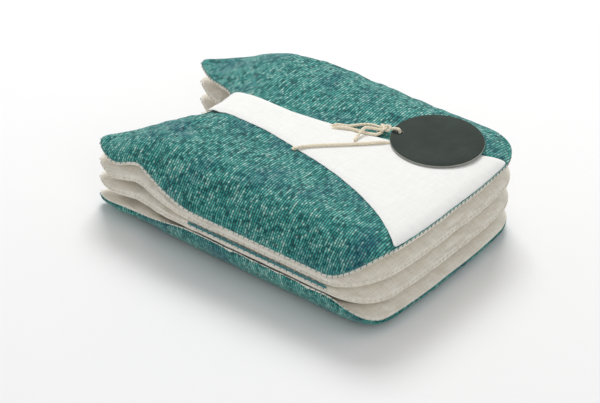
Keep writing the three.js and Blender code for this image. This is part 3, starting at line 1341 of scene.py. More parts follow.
@dataclass
class Twine:
    """The cotton twine on the band: one strand, a pair of strands that turn at the knot, and a short end.

    Each route's second number is measured from the crown, and its third from the level of the strands.
    """

    form: PanelForm
    tag: HangTag
    finish: Material
    grounds: tuple
    shape: TwineShape
    level: float = 57.9
    most_drop: float = 1.3
    easing: float = 3.2
    left_route: tuple = (
        (-12.8, -62.4, -1.9),
        (-14.9, -62.4, -1.5),
        (-16.5, -63.3, -0.9),
        (-15.6, -64.9, -0.1),
        (-12, -68.1, 0),
        (-6, -73.6, 0),
        (3.3, -83.3, 0),
        (10.9, -90.9, 0),
        (18.4, -98, -0.1),
        (21.6, -101.2, -1.9),
        (23.2, -102.8, -2.3),
    )
    right_route: tuple = (
        (13.6, -64.6, -1.9),
        (16, -67.5, -0.2),
        (19, -72, 0),
        (23.3, -75.5, 0),
        (27, -78.7, 0),
        (29.2, -82.4, 0),
        (29.4, -86.8, 0.3),
        (28.4, -89.4, 0.4),
        (25.9, -90.5, 0.4),
        (24.3, -90.2, 0.3),
        (22.3, -88.7, 0),
        (20.5, -85.6, 0),
        (19, -80.5, 0),
        (17.1, -74.6, 0),
        (14, -69.4, -0.2),
        (12.0, -66.6, -1.9),
    )
    tail_route: tuple = (
        (28.4, -90.6, 0.2),
        (25.4, -87.6, 1.4),
        (23.2, -85.2, 2.3),
        (20, -83.6, 2.6),
        (15.4, -83.6, 1.4),
        (12, -84, 0.2),
        (9.2, -84.6, 0),
    )
    knot_lift: float = 1.75
    knot_size: float = 0.92
    knot_height: float = 0.75
    knot_twine_radius: float = 0.88
    knot_turn: float = 0.5
    knot_end: float = 0.12
    knot_samples: int = 90

    def build(self) -> list[Object]:
        """Builds the strands and the knot that ride on the front cover, and the loop that rides on the tag.

        Returns:
            The finished pieces.
        """
        knot = self.piece("twine_knot_tied", self.knot_path(), "front_cover", self.knot_twine_radius)
        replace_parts(knot, "twine_knot")
        tail = self.piece("twine_tail_end", self.routed(self.tail_route), "front_cover")
        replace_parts(tail, "twine_tail")
        loop = self.piece("twine_tag_loop_strand", self.tag.loop_path(self.shape), "hang_tag")
        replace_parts(loop, "twine_tag_loop")
        left_path, right_path = self.routed(self.left_route), self.routed(self.right_route)
        left = self.piece("twine_left_strand", left_path, "front_cover")
        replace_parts(left, "twine_left")
        right = self.piece("twine_right_strands", right_path, "front_cover")
        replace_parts(right, "twine_right_upper", "twine_right_lower")
        return [left, right, tail, knot, loop]

    def piece(self, name: str, path: Array, body: str, radius: float | None = None) -> Object:
        """Makes one stretch of twine.

        Args:
            name: The piece's name.
            path: Its centreline, in millimetres.
            body: The body that it rides on.
            radius: Its radius, where it isn't the twine's own.

        Returns:
            The piece.
        """
        shape = self.shape if radius is None else TwineShape(radius=radius)
        points, faces, spread = shape.tube(path)
        made = new_object(name, points, faces, [self.finish])
        layer = made.data.uv_layers.new(name=CLOTH_UV)
        spread = np.vstack([spread, [spread[0, 0], 0], [spread[-1, 0], 0]])
        for polygon in made.data.polygons:
            corners = [made.data.loops[i].vertex_index for i in polygon.loop_indices]
            turns = spread[corners, 1]
            turns = np.where(turns < turns.max() - math.pi, turns + 2 * math.pi, turns)
            for loop_index, corner, turn in zip(polygon.loop_indices, corners, turns):
                layer.data[loop_index].uv = (spread[corner, 0] * MM, turn * shape.radius * MM)
        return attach(made, body)

    def routed(self, route: tuple) -> Array:
        """Draws a strand's centreline, settled on the band where the band lies a little lower."""
        places = np.array(route, float) + [0, self.form.outline.crown_y, self.level]
        return self.settled(spline(places, self.shape.ring_step))

    def settled(self, path: Array) -> Array:
        """Lowers a path smoothly to where it rests on the band or, beside the band, on the cover."""
        graph = bpy.context.evaluated_depsgraph_get()
        trees = [BVHTree.FromObject(ground, graph) for ground in self.grounds]
        drops = np.zeros(len(path))
        for index, (x, y, _) in enumerate(path):
            hits = [height_below(tree, x, y) for tree in trees]
            ground = max(hit for hit in hits if hit is not None)
            drops[index] = np.clip(self.level - self.shape.radius - ground, 0, self.most_drop)
        half = round(self.easing / self.shape.ring_step / 2)
        reach = np.pad(drops, half, mode="edge")
        lowest = np.array([reach[index : index + 2 * half + 1].min() for index in range(len(drops))])
        window = np.ones(2 * half + 1) / (2 * half + 1)
        settled = path.copy()
        settled[:, 2] -= np.convolve(np.pad(lowest, half, mode="edge"), window, mode="valid")
        return settled

    def knot_path(self) -> Array:
        """Draws the centreline of the pulled-tight knot."""
        moments = np.linspace(self.knot_end, 2 * math.pi - self.knot_end, self.knot_samples)
        x = np.sin(moments) + 2 * np.sin(2 * moments)
        y = np.cos(moments) - 2 * np.cos(2 * moments)
        turned_x = x * math.cos(self.knot_turn) - y * math.sin(self.knot_turn)
        turned_y = x * math.sin(self.knot_turn) + y * math.cos(self.knot_turn)
        heights = -np.sin(3 * moments) * self.knot_height
        path = np.column_stack([turned_x * self.knot_size, turned_y * self.knot_size, heights])
        return spline(path + self.tag.knot_place(self.knot_lift), self.shape.ring_step)


def ring_quads(first: int, second: int, sides: int) -> list:
    """Joins two rings of vertices with quads.

    Args:
        first: The first vertex of one ring.
        second: The first vertex of the other.
        sides: How many vertices each ring has.

    Returns:
        The faces.
    """
    return [[first + i, first + (i + 1) % sides, second + (i + 1) % sides, second + i] for i in range(sides)]


@dataclass(frozen=True)
class StitchSizes:
    """The sizes of a row of stitches, in millimetres and degrees."""

    spacing: float
    length: float
    thread_radius: float
    slant: float
    arch: float


@dataclass
class SeamStitches:
    """Rows of stitches along seam lines, made by one node tree."""

    finish: Material
    sizes: StitchSizes
    tree_name: str = "Stitches along a seam"
    segments: int = 6
    sunk_share: float = 1.5

    def tree(self) -> Tree:
        """Builds the tree, or finds the one built before.

        Returns:
            The node tree, from a seam line to its stitches.
        """
        found = bpy.data.node_groups.get(self.tree_name)
        if found is not None:
            return found
        tree = bpy.data.node_groups.new(self.tree_name, "GeometryNodeTree")
        tree.interface.new_socket("Seam line", in_out="INPUT", socket_type="NodeSocketGeometry")
        for name in ("Spacing", "Stitch length", "Thread radius", "Slant", "Arch"):
            tree.interface.new_socket(name, in_out="INPUT", socket_type="NodeSocketFloat")
        tree.interface.new_socket("Thread", in_out="INPUT", socket_type="NodeSocketMaterial")
        tree.interface.new_socket("Stitches", in_out="OUTPUT", socket_type="NodeSocketGeometry")
        given = add_node(tree, "NodeGroupInput").outputs
        curve = add_node(tree, "GeometryNodeMeshToCurve", {}, {"Mesh": given["Seam line"]})
        level = add_node(tree, "GeometryNodeSetCurveNormal", {"mode": "Z_UP"}, {"Curve": curve})
        spacing = {"Curve": level, "Length": given["Spacing"]}
        spaced = add_node(tree, "GeometryNodeResampleCurve", {"mode": "LENGTH"}, spacing)
        along = add_node(tree, "GeometryNodeInputTangent")
        outward = add_node(tree, "GeometryNodeInputNormal")
        turned = add_node(
            tree,
            "FunctionNodeAxesToRotation",
            {"primary_axis": "X", "secondary_axis": "Z"},
            {"Primary Axis": along, "Secondary Axis": outward},
        )
        slant = add_node(
            tree, "FunctionNodeAxisAngleToRotation", {}, {"Axis": (0.0, 0.0, 1.0), "Angle": given["Slant"]}
        )
        slanted = add_node(
            tree, "FunctionNodeRotateRotation", {"rotation_space": "LOCAL"}, {0: turned, 1: slant}
        )
        placed = add_node(
            tree,
            "GeometryNodeInstanceOnPoints",
            {},
            {"Points": spaced, "Instance": self.stitch(tree, given), "Rotation": slanted},
        )
        real = add_node(tree, "GeometryNodeRealizeInstances", {}, {"Geometry": placed})
        dressed = add_node(
            tree, "GeometryNodeSetMaterial", {}, {"Geometry": real, "Material": given["Thread"]}
        )
        add_node(tree, "NodeGroupOutput", {}, {"Stitches": dressed})
        return tree

    def stitch(self, tree: Tree, given: bpy.types.NodeOutputs) -> Node:
        """Adds the nodes of one arched stitch.

        Args:
            tree: The tree to add to.
            given: The tree's inputs.

        Returns:
            The node that gives the stitch.
        """
        half = add_node(
            tree, "ShaderNodeMath", {"operation": "MULTIPLY"}, {0: given["Stitch length"], 1: 0.5}
        )
        back = add_node(tree, "ShaderNodeMath", {"operation": "MULTIPLY"}, {0: half, 1: -1.0})
        radius = given["Thread radius"]
        sunk = add_node(tree, "ShaderNodeMath", {"operation": "MULTIPLY"}, {0: radius, 1: -self.sunk_share})
        start = add_node(tree, "ShaderNodeCombineXYZ", {}, {"X": back, "Z": sunk})
        top = add_node(tree, "ShaderNodeCombineXYZ", {}, {"Z": given["Arch"]})
        end = add_node(tree, "ShaderNodeCombineXYZ", {}, {"X": half, "Z": sunk})
        arch = add_node(
            tree,
            "GeometryNodeCurveQuadraticBezier",
            {},
            {"Resolution": self.segments, "Start": start, "Middle": top, "End": end},
        )
        circle = {"Resolution": self.segments, "Radius": radius}
        section = add_node(tree, "GeometryNodeCurvePrimitiveCircle", {}, circle)
        solid = add_node(
            tree,
            "GeometryNodeCurveToMesh",
            {},
            {"Curve": arch, "Profile Curve": section, "Fill Caps": True},
        )
        return add_node(tree, "GeometryNodeSetShadeSmooth", {}, {"Geometry": solid})

    def sew(self, name: str, line: Array, body: str, closed: bool) -> Object:
        """Sews along a line.

        Args:
            name: The piece's name.
            line: The seam line's places, in millimetres.
            body: The body that the stitches ride on.
            closed: Whether the line runs round to its start.

        Returns:
            The finished piece.
        """
        count = len(line)
        edges = [(i, (i + 1) % count) for i in range(count if closed else count - 1)]
        mesh = bpy.data.meshes.new(name)
        mesh.from_pydata((line * MM).tolist(), edges, [])
        piece = bpy.data.objects.new(name, mesh)
        bpy.context.scene.collection.objects.link(piece)
        tree = self.tree()
        modifier = piece.modifiers.new("Stitches", "NODES")
        modifier.node_group = tree
        wanted = {
            "Spacing": self.sizes.spacing * MM,
            "Stitch length": self.sizes.length * MM,
            "Thread radius": self.sizes.thread_radius * MM,
            "Slant": math.radians(self.sizes.slant),
            "Arch": self.sizes.arch * MM,
            "Thread": self.finish,
        }
        for item in tree.interface.items_tree:
            if item.name in wanted and item.in_out == "INPUT":
                modifier[item.identifier] = wanted[item.name]
        bake_modifiers(piece)
        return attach(piece, body)


@dataclass(frozen=True)
class Weave:
    """A plain weave on the cloth's own UV map, with its yarn spacing in millimetres."""

    pitch: float
    wobble_scale: float = 0.11
    wobble_reach: float = 1.4
    crossing_blur: float = 0.35

    def add(self, tree: Tree) -> dict[str, Socket | Node]:
        """Adds the weave's nodes.

        Args:
            tree: The material's tree.

        Returns:
            What gives "u" and "v" in millimetres, "row" and "column" of the yarn, "over" where the weft is
            on top, "row_ridge" and "column_ridge", which fall to 0 between yarns, and "relief", the height of
            the yarn on top from 0 to 1.
        """
        place = add_node(tree, "ShaderNodeUVMap", {"uv_map": CLOTH_UV})
        scaled = add_node(tree, "ShaderNodeVectorMath", {"operation": "SCALE"}, {0: place, "Scale": 1 / MM})
        wobble = add_node(
            tree, "ShaderNodeTexNoise", {}, {"Vector": scaled, "Scale": self.wobble_scale, "Detail": 2.0}
        ).outputs["Color"]
        centred = add_node(
            tree, "ShaderNodeVectorMath", {"operation": "SUBTRACT"}, {0: wobble, 1: (0.5, 0.5, 0.5)}
        )
        bent = add_node(
            tree,
            "ShaderNodeVectorMath",
            {"operation": "MULTIPLY_ADD"},
            {0: centred, 1: (self.wobble_reach,) * 3, 2: scaled},
        )
        parts = add_node(tree, "ShaderNodeSeparateXYZ", {}, {0: bent}).outputs
        found = {"u": parts[0], "v": parts[1]}
        ridges = {}
        for name, socket in (("row", parts[1]), ("column", parts[0])):
            count = add_node(tree, "ShaderNodeMath", {"operation": "DIVIDE"}, {0: socket, 1: self.pitch})
            found[name] = add_node(tree, "ShaderNodeMath", {"operation": "FLOOR"}, {0: count})
            wave = add_node(tree, "ShaderNodeMath", {"operation": "MULTIPLY"}, {0: count, 1: math.pi})
            ridges[name] = add_node(tree, "ShaderNodeMath", {"operation": "SINE"}, {0: wave})
        crossing = add_node(
            tree, "ShaderNodeMath", {"operation": "MULTIPLY"}, {0: ridges["row"], 1: ridges["column"]}
        )
        found["over"] = add_node(
            tree,
            "ShaderNodeMapRange",
            {"clamp": True},
            {"Value": crossing, "From Min": -self.crossing_blur, "From Max": self.crossing_blur},
        )
        heights = [
            add_node(tree, "ShaderNodeMath", {"operation": "ABSOLUTE"}, {0: ridges[name]})
            for name in ("row", "column")
        ]
        found["row_ridge"], found["column_ridge"] = heights
        found["relief"] = add_node(
            tree,
            "ShaderNodeMix",
            {"data_type": "FLOAT"},
            {"Factor": found["over"], 2: heights[1], 3: heights[0]},
        )
        return found


def yarn_tone(tree: Tree, along: Socket, yarn: Socket, slub: float, seed: float) -> Node:
    """Adds a tone that changes from yarn to yarn, and along each yarn by its slubs.

    Args:
        tree: The material's tree.
        along: The place along the yarn, in millimetres.
        yarn: The yarn's number.
        slub: The usual length of a slub, in millimetres.
        seed: A number that sets one family of yarns apart from another.

    Returns:
        The tone, from 0 to 1.
    """
    run = add_node(tree, "ShaderNodeMath", {"operation": "DIVIDE"}, {0: along, 1: slub})
    spread = add_node(tree, "ShaderNodeMath", {"operation": "MULTIPLY"}, {0: yarn, 1: YARN_SPREAD})
    place = add_node(tree, "ShaderNodeCombineXYZ", {}, {"X": run, "Y": spread, "Z": seed})
    tone = add_node(
        tree, "ShaderNodeTexNoise", {}, {"Vector": place, "Scale": 1.0, "Detail": 1.5, "Roughness": 0.6}
    )
    return add_node(
        tree,
        "ShaderNodeMapRange",
        {"clamp": True},
        {"Value": tone, "From Min": YARN_TONES[0], "From Max": YARN_TONES[1]},
    )


def new_material(name: str) -> tuple[Material, Tree, Node]:
    """Makes a material with one Principled shader.

    Args:
        name: The real material's name.

    Returns:
        The material, its tree and its shader.
    """
    material = bpy.data.materials.new(name)
    material.use_nodes = True
    tree = material.node_tree
    tree.nodes.clear()
    shader = add_node(tree, "ShaderNodeBsdfPrincipled")
    add_node(tree, "ShaderNodeOutputMaterial", {}, {"Surface": shader})
    return material, tree, shader


def dress(shader: Node, height: Socket | Node, relief: tuple[float, float], values: dict) -> None:
    """Gives a shader its fine relief and its other inputs.

    Args:
        shader: The material's shader.
        height: What gives the relief's height.
        relief: How strongly the relief shows, and its depth in millimetres.
        values: Names of the shader's inputs, each with what feeds it.
    """
    strength, depth = relief
    inputs = {"Strength": strength, "Distance": depth * MM, "Height": height}
    bump = add_node(shader.id_data, "ShaderNodeBump", {}, inputs)
    for name, value in {**values, "Normal": bump}.items():
        feed(shader.id_data, shader.inputs[name], value)


@dataclass(frozen=True)
class MarledCotton:
    """Woven slub cotton: light, mid and dark teal yarns, the weft far more varied than the warp."""

    name: str = "woven_slub_cotton_teal"
    yarn_pitch: float = 1.45
    slub_length: float = 3.6
    warp_slub_length: float = 2.4
    # The groove shares are painted shade: how dark the colour gets in the grooves between weft rows and
    # between warp columns.
    row_groove_shade: float = 0.04
    column_groove_shade: float = 0.6
    weft: tuple = ((0.0, "0d585a"), (0.3, "1f8783"), (0.5, "4db4ab"), (0.75, "7fd0c4"), (1.0, "b4e6db"))
    warp: tuple = ((0.0, "0b4d52"), (0.4, "27918c"), (0.75, "66bab0"), (1.0, "a4c8c2"))
    shade: str = "0a3a5a"
    shade_size: float = 26.0
    shade_share: float = 0.55
    weft_share: float = 0.62
    share_swing: float = 0.3
    patch_range: tuple = (0.5, 0.75)
    seeds: tuple = (1.7, 9.3)

    def material(self) -> Material:
        """Builds the material."""
        # Each yarn was dyed unevenly before weaving, so short light and dark dashes run across the cloth.
        # The yarns are drawn coarser than cotton of this kind has them, a guess of 0.4 mm, so that they show
        # in the picture, where the photograph's own pixels make them look that coarse.
        material, tree, shader = new_material(self.name)
        weave = Weave(self.yarn_pitch).add(tree)
        weft_tone = yarn_tone(tree, weave["u"], weave["row"], self.slub_length, self.seeds[0])
        warp_tone = yarn_tone(tree, weave["v"], weave["column"], self.warp_slub_length, self.seeds[1])
        weft = add_node(tree, "ShaderNodeValToRGB", {}, {0: weft_tone}, self.weft)
        warp = add_node(tree, "ShaderNodeValToRGB", {}, {0: warp_tone}, self.warp)
        low, high = self.weft_share - self.share_swing, self.weft_share + self.share_swing
        share = add_node(
            tree, "ShaderNodeMapRange", {}, {"Value": weave["over"], "To Min": low, "To Max": high}
        )
        woven = add_node(
            tree, "ShaderNodeMix", {"data_type": "RGBA"}, {"Factor": share, 6: warp, 7: weft}
        ).outputs[2]
        # Painted shade: the colour is darkened in the grooves between the yarns, most between the weft rows,
        # so the weave shows as dark lines.
        lines = add_node(
            tree, "ShaderNodeMapRange", {}, {"Value": weave["row_ridge"], "To Min": self.row_groove_shade}
        )
        column_shade = add_node(
            tree, "ShaderNodeMapRange", {}, {"Value": weave["column_ridge"], "To Min": self.column_groove_shade}
        )
        groove = add_node(tree, "ShaderNodeMath", {"operation": "MULTIPLY"}, {0: lines, 1: column_shade})
        woven = add_node(
            tree,
            "ShaderNodeMix",
            {"data_type": "RGBA", "blend_type": "MULTIPLY"},
            {"Factor": 1.0, 6: woven, 7: groove},
        ).outputs[2]
        place = add_node(tree, "ShaderNodeTexCoord").outputs["Object"]
        scale = 1 / (self.shade_size * MM)
        patches = add_node(tree, "ShaderNodeTexNoise", {}, {"Vector": place, "Scale": scale, "Detail": 3.0})
        first, last = self.patch_range
        amount = add_node(
            tree,
            "ShaderNodeMapRange",
            {"clamp": True},
            {"Value": patches, "From Min": first, "From Max": last, "To Max": self.shade_share},
        )
        colour = add_node(
            tree,
            "ShaderNodeMix",
            {"data_type": "RGBA"},
            {"Factor": amount, 6: woven, 7: linear(self.shade)},
        ).outputs[2]
        values = {
            "Base Color": colour,
            "Roughness": 0.92,
            "Specular IOR Level": 0.25,
            "Sheen Weight": 0.25,
            "Sheen Roughness": 0.5,
            "Sheen Tint": linear("cfe8e4"),
        }
        dress(shader, weave["relief"], (0.7, 0.22), values)
        return material


@dataclass(frozen=True)
class PlainCotton:
    """Plain woven cotton in one colour, its yarns a little lighter and darker along their length."""

    name: str
    colour: str
    dark: str
    light: str
    yarn_pitch: float
    relief: float
    sheen: float
    slub_length: float = 9.0
    seeds: tuple = (4.1, 2.6)

    def material(self) -> Material:
        """Builds the material."""
        # Bleached cotton scatters light softly, and only its weave and faint shade of yarns show.
        material, tree, shader = new_material(self.name)
        weave = Weave(self.yarn_pitch).add(tree)
        weft = yarn_tone(tree, weave["u"], weave["row"], self.slub_length, self.seeds[0])
        warp = yarn_tone(tree, weave["v"], weave["column"], self.slub_length, self.seeds[1])
        tone = add_node(
            tree, "ShaderNodeMix", {"data_type": "FLOAT"}, {"Factor": weave["over"], 2: warp, 3: weft}
        )
        stops = ((0.0, self.dark), (0.5, self.colour), (1.0, self.light))
        colour = add_node(tree, "ShaderNodeValToRGB", {}, {0: tone}, stops)
        values = {
            "Base Color": colour,
            "Roughness": 0.85,
            "Specular IOR Level": 0.3,
            "Sheen Weight": self.sheen,
            "Sheen Roughness": 0.4,
        }
        dress(shader, weave["relief"], (0.5, self.relief), values)
        return material


@dataclass(frozen=True)
class SewingThread:
    """Spun polyester sewing thread."""

    name: str
    colour: str
    # dark is the colour of the painted shade in the twist's grooves.
    dark: str
    band_scale: float = 420.0

    def material(self) -> Material:
        """Builds the material."""
        # Its twist shows as fine slanting light and dark bands with a soft gloss. The dark bands are painted
        # shade of the twist's grooves, in the colour as well as the relief.
        material, tree, shader = new_material(self.name)
        place = add_node(tree, "ShaderNodeTexCoord").outputs["Object"]
        twist = add_node(
            tree,
            "ShaderNodeTexWave",
            {"bands_direction": "DIAGONAL"},
            {"Vector": place, "Scale": self.band_scale, "Distortion": 1.5},
        ).outputs["Fac"]
        # Painted shade: the colour darkens along the twist bands.
        stops = ((0.0, self.dark), (1.0, self.colour))
        colour = add_node(tree, "ShaderNodeValToRGB", {}, {0: twist}, stops)
        dress(shader, twist, (0.5, 0.1), {"Base Color": colour, "Roughness": 0.6, "Sheen Weight": 0.2})
        return material


@dataclass(frozen=True)
class TwistedCotton:
    """Three-ply cotton twine, undyed."""

    name: str = "twisted_cotton_twine"
    fibre_pitch: float = 0.22
    lay_slope: float = -0.94
    fibre_stretch: float = 0.5
    stops: tuple = ((0.3, "cdbb96"), (0.46, "ecdfc4"), (0.6, "f6eddb"), (0.75, "fdf8ee"))

    def material(self) -> Material:
        """Builds the material."""
        # The plies' grooves are in the mesh. Fine fibres wind along each ply, and the grooves look warmer.
        material, tree, shader = new_material(self.name)
        place = add_node(tree, "ShaderNodeUVMap", {"uv_map": CLOTH_UV})
        scaled = add_node(tree, "ShaderNodeVectorMath", {"operation": "SCALE"}, {0: place, "Scale": 1 / MM})
        parts = add_node(tree, "ShaderNodeSeparateXYZ", {}, {0: scaled}).outputs
        skewing = {0: parts[0], 1: self.lay_slope, 2: parts[1]}
        skew = add_node(tree, "ShaderNodeMath", {"operation": "MULTIPLY_ADD"}, skewing)
        across = add_node(tree, "ShaderNodeMath", {"operation": "DIVIDE"}, {0: skew, 1: self.fibre_pitch})
        along = add_node(
            tree, "ShaderNodeMath", {"operation": "MULTIPLY"}, {0: parts[0], 1: self.fibre_stretch}
        )
        vector = add_node(tree, "ShaderNodeCombineXYZ", {}, {"X": along, "Y": across})
        fibres = add_node(tree, "ShaderNodeTexNoise", {}, {"Vector": vector, "Scale": 1.0, "Detail": 3.0})
        colour = add_node(tree, "ShaderNodeValToRGB", {}, {0: fibres}, self.stops)
        values = {"Base Color": colour, "Roughness": 0.95, "Specular IOR Level": 0.2, "Sheen Weight": 0.3}
        dress(shader, fibres, (0.6, 0.12), values)
        return material


@dataclass(frozen=True)
class MattCard:
    """Printed pulp board, matt charcoal with a green cast."""

    name: str
    colour: str
    light: str
    grain: float = 0.5
    cloud_size: float = 9
    cloud_share: float = 0.65
    roughness: tuple = (0.7, 0.85)

    def material(self) -> Material:
        """Builds the material."""
        # The ink lies matt over the board's fibres, with faint cloudy rubbing.
        material, tree, shader = new_material(self.name)
        place = add_node(tree, "ShaderNodeTexCoord").outputs["Object"]
        grain, cloud = 1 / (self.grain * MM), 1 / (self.cloud_size * MM)
        fibres = add_node(tree, "ShaderNodeTexNoise", {}, {"Vector": place, "Scale": grain, "Detail": 4.0})
        clouds = add_node(tree, "ShaderNodeTexNoise", {}, {"Vector": place, "Scale": cloud, "Detail": 4.0})
        tone = add_node(
            tree, "ShaderNodeMix", {"data_type": "FLOAT"}, {"Factor": self.cloud_share, 2: fibres, 3: clouds}
        )
        stops = ((0.35, self.colour), (0.7, self.light))
        colour = add_node(tree, "ShaderNodeValToRGB", {}, {0: tone}, stops)
        low, high = self.roughness
        rough = add_node(tree, "ShaderNodeMapRange", {}, {"Value": clouds, "To Min": low, "To Max": high})
        values = {"Base Color": colour, "Roughness": rough, "Specular IOR Level": 0.2}
        dress(shader, fibres, (0.35, 0.12), values)
        return material


@dataclass(frozen=True)
class CrinkleFilm:
    """Thin milky polypropylene film, the layer that rustles inside each panel."""

    name: str = "crinkle_film_polypropylene"
    crease_size: float = 7
    # The first, darker stop is painted shade along the creases.
    stops: tuple = ((0.0, "aab4bb"), (0.2, "dfe4e7"))

    def material(self) -> Material:
        """Builds the material."""
        # Creased film shows sharp facets with a clear gloss, and its creases are darkened in the colour as
        # painted shade.
        material, tree, shader = new_material(self.name)
        place = add_node(tree, "ShaderNodeTexCoord").outputs["Object"]
        creases = add_node(
            tree,
            "ShaderNodeTexVoronoi",
            {"feature": "DISTANCE_TO_EDGE"},
            {"Vector": place, "Scale": 1 / (self.crease_size * MM)},
        )
        # Painted shade: the colour is darker along the creases.
        colour = add_node(tree, "ShaderNodeValToRGB", {}, {0: creases}, self.stops)
        dress(shader, creases, (0.8, 0.6), {"Base Color": colour, "Roughness": 0.25})
        return material


@dataclass
class SpineThread:
    """The saddle stitching down the spine: a laid thread and the turns that hold the four flanges to it."""

    form: PanelForm
    finish: Material
    radius: float = 0.62
    lay_length: float = 3.2
    turn_radius: float = 0.24
    turn_pitch: float = 4.0
    turn_reach: float = 1.06
    turn_lay: float = 1.6
    core_step: float = 0.4
    turn_step: float = 0.12
    core_sides: int = 14
    turn_sides: int = 8
    plies: int = 2

    def build(self) -> Object:
        """Builds the thread along the seam's axis, wound round by a finer one.

        Returns:
            The finished piece.
        """
        form, outline = self.form, self.form.outline
        ys = np.arange(outline.cheek_low_y, outline.cheek_high_y + self.core_step / 2, self.core_step)
        axis = np.column_stack([np.full(len(ys), form.spine_x), ys, np.full(len(ys), form.spine_z)])
        core = TwineShape(self.radius, self.plies, self.lay_length, sides=self.core_sides)
        core_points, core_faces, _ = core.tube(axis)
        turns = np.arange(ys[0] + 1, ys[-1] - 1, self.turn_step)
        angle = turns / self.turn_pitch * 2 * math.pi
        across, up = self.turn_reach * np.cos(angle), self.turn_reach * np.sin(angle)
        helix = np.column_stack([form.spine_x + across, turns, form.spine_z + up])
        wrap = TwineShape(self.turn_radius, self.plies, self.turn_lay, sides=self.turn_sides)
        wrap_points, wrap_faces, _ = wrap.tube(helix)
        count = len(core_points)
        faces = core_faces + [[count + index for index in face] for face in wrap_faces]
        points = np.vstack([core_points, wrap_points])
        piece = new_object("spine_saddle_stitching", points, faces, [self.finish])
        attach(piece, "back_cover")
        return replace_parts(piece, "spine_seam")


@dataclass
class Studio:
    """The pale floor, the soft lights and the camera."""

    camera_place: tuple = (-1.0509, -0.77265, 0.892)
    camera_direction: tuple = (0.668, 0.490, -0.560)
    roll: float = 2.057
    lens: float = 173.2
    floor_size: float = 6.0
    floor_drop: float = 0.02
    sensor_width: float = 36
    clip_start: float = 0.05
    floor_colour: str = "f2f2f2"
    sky_strength: float = 0.55
    key_place: tuple = (0.7, 0.55, 1.3)
    key_size: float = 0.7
    key_power: float = 15.0
    fill_place: tuple = (-0.9, -1.1, 0.9)
    fill_size: float = 1.2
    fill_power: float = 3.5

    def build(self) -> None:
        """Sets up the stage."""
        bpy.context.scene.view_settings.view_transform = "Standard"
        self.lay_floor()
        self.light_sky()
        self.add_lamp("key_light", self.key_place, self.key_size, self.key_power)
        self.add_lamp("fill_light", self.fill_place, self.fill_size, self.fill_power)
        self.place_camera()

    def lay_floor(self) -> None:
        """Lays the floor, seen white but shaded by what stands on it."""
        half = self.floor_size / 2 / MM
        corners = np.array([[-half, -half, 0], [half, -half, 0], [half, half, 0], [-half, half, 0]])
        material, tree, shader = new_material("paper_backdrop")
        shader.inputs["Base Color"].default_value = linear(self.floor_colour)
        shader.inputs["Roughness"].default_value = 1.0
        floor = new_object("floor", corners - [0, 0, self.floor_drop], [[0, 1, 2, 3]], [material])

    def light_sky(self) -> None:
        """Gives an even sky, white where the camera and reflections see it."""
        world = bpy.data.worlds.new("soft_sky")
        world.use_nodes = True
        bpy.context.scene.world = world
        tree = world.node_tree
        tree.nodes.clear()
        path = add_node(tree, "ShaderNodeLightPath").outputs
        seen = add_node(
            tree,
            "ShaderNodeMath",
            {"operation": "MAXIMUM"},
            {0: path["Is Camera Ray"], 1: path["Is Glossy Ray"]},
        )
        seen = add_node(
            tree, "ShaderNodeMath", {"operation": "MAXIMUM"}, {0: seen, 1: path["Is Transmission Ray"]}
        )
        strength = add_node(
            tree, "ShaderNodeMapRange", {}, {"Value": seen, "To Min": self.sky_strength, "To Max": 1.0}
        )
        sky = add_node(tree, "ShaderNodeBackground", {}, {"Color": linear("ffffff"), "Strength": strength})
        add_node(tree, "ShaderNodeOutputWorld", {}, {"Surface": sky})

    def add_lamp(self, name: str, place: tuple, size: float, power: float) -> None:
        """Adds a soft square lamp that faces the book."""
        data = bpy.data.lights.new(name, "AREA")
        data.size = size
        data.energy = power
        lamp = bpy.data.objects.new(name, data)
        lamp.location = place
        lamp.rotation_euler = (-Vector(place)).to_track_quat("-Z", "Y").to_euler()
        bpy.context.scene.collection.objects.link(lamp)

    def place_camera(self) -> None:
        """Puts the camera where the photograph was taken from."""
        data = bpy.data.cameras.new("camera")
        data.sensor_width = self.sensor_width
        data.lens = self.lens
        data.clip_start = self.clip_start
        camera = bpy.data.objects.new("camera", data)
        forward = Vector(self.camera_direction).normalized()
        level = forward.cross(Vector((0, 0, 1))).normalized()
        upright = level.cross(forward)
        lean = math.radians(self.roll)
        right = level * math.cos(lean) + upright * math.sin(lean)
        up = upright * math.cos(lean) - level * math.sin(lean)
        turned = Matrix((right, up, -forward)).transposed().to_4x4()
        camera.matrix_world = Matrix.Translation(self.camera_place) @ turned
        bpy.context.scene.collection.objects.link(camera)
        bpy.context.scene.camera = camera


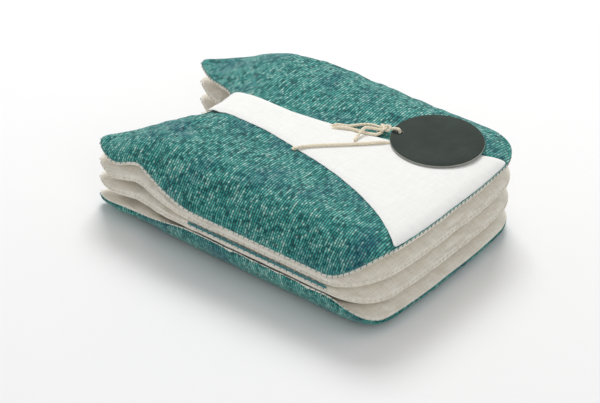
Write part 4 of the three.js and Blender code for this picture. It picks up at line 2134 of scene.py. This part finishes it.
@dataclass
class ClothBook:
    """The whole book, built from its sub-assemblies in order."""

    form: PanelForm
    net_spacing: float = 2.9
    rim_step: float = 2.2
    rim_insets: tuple = (0.5, 1.5, 3.2)
    stitch_line_step: float = 0.8
    stitch_inset: float = 0.25
    stitch_sizes: StitchSizes = StitchSizes(spacing=3.4, length=2.4, thread_radius=0.2, slant=62, arch=0.5)

    def build(self) -> None:
        """Builds every piece and reports it."""
        teal = MarledCotton().material()
        page = PlainCotton("woven_cotton_natural", "e9e4d8", "dcd5c6", "f3efe6", 0.55, 0.2, 0.2).material()
        white = PlainCotton("cotton_sateen_white", "efefec", "e9e9e6", "f4f4f2", 0.35, 0.06, 0.1).material()
        teal_thread = SewingThread("sewing_thread_teal", "3f8f92", "1d5c64").material()
        pale_thread = SewingThread("sewing_thread_natural", "e6dfce", "c3b99f").material()
        twine_finish = TwistedCotton().material()
        panels = self.panels(teal, page)
        for panel in panels:
            is_cover = panel.slot in (0, len(panels) - 1)
            report(panel.build())
            self.sew_rim(panel, teal_thread if is_cover else pale_thread)
            report(SpineFlange(self.form, panel.slot, teal if is_cover else page).build())
        report(SpineThread(self.form, teal_thread).build())
        cover = bpy.data.objects["front_cover_padding"]
        band = FaceBand(self.form, white, cover).build()
        report(band)
        card = MattCard("pulp_board_charcoal", "262e29", "38413b").material()
        core = MattCard("pulp_board_cut_edge", "8b8d86", "a9aaa2").material()
        tag = HangTag(self.form, card, core)
        report(tag.build())
        for strand in Twine(self.form, tag, twine_finish, (band, cover), TwineShape()).build():
            report(strand)
        self.dress_film()

    def panels(self, teal: Material, page: Material) -> list[ClothPanel]:
        """Describes the four panels, from the bottom of the stack to its top."""
        form = self.form
        net = flat_net(form.outline.loop(self.rim_step), self.net_spacing, self.rim_insets, SEED)
        made = []
        for slot, name in enumerate(form.names[:-1]):
            cloths = ("inner_cloth", "outer_cloth") if slot == 0 else ("front_cloth", "back_cloth")
            hidden = tuple(f"{name}_{part}" for part in (*cloths, "wadding"))
            made.append(ClothPanel(form, net, slot, page, teal if slot == 0 else page, hidden))
        name = form.names[-1]
        hidden = tuple(f"{name}_{part}" for part in ("face_cloth", "inner_cloth", "wadding"))
        made.append(FrontCover(form, net, len(form.names) - 1, teal, page, hidden))
        return made

    def sew_rim(self, panel: ClothPanel, thread: Material) -> None:
        """Sews a panel's rim shut with small slanting stitches."""
        form = self.form
        loop = form.outline.loop(self.stitch_line_step)
        heights = form.middle(loop, panel.slot) * form.ear_sag(loop[:, 1])
        line = np.column_stack([loop + inward_directions(loop) * self.stitch_inset, heights])
        stitches = SeamStitches(thread, self.stitch_sizes)
        report(stitches.sew(f"{panel.body}_rim_stitches", line, panel.body, True))

    def dress_film(self) -> None:
        """Gives the films that stay inside the panels their finish."""
        finish = CrinkleFilm().material()
        for name in self.form.names:
            node = bpy.data.objects[f"{name}_crinkle_film"]
            node.data.materials.clear()
            node.data.materials.append(finish)


def report(piece: Object) -> None:
    """Logs a finished piece and the size of its mesh.

    Args:
        piece: The piece.
    """
    LOG.info("%s: %d faces", piece.name, len(piece.data.polygons))


def corners(box: tuple) -> list[list[float]]:
    return [[float(value) for value in corner] for corner in box]


def main() -> None:
    """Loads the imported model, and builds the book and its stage."""
    logging.basicConfig(level=logging.INFO, format="%(name)s: %(message)s")
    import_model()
    ClothBook(PanelForm(HeadOutline())).build()
    Studio().build()
    bpy.context.view_layer.update()


if __name__ == "__main__":
    main()
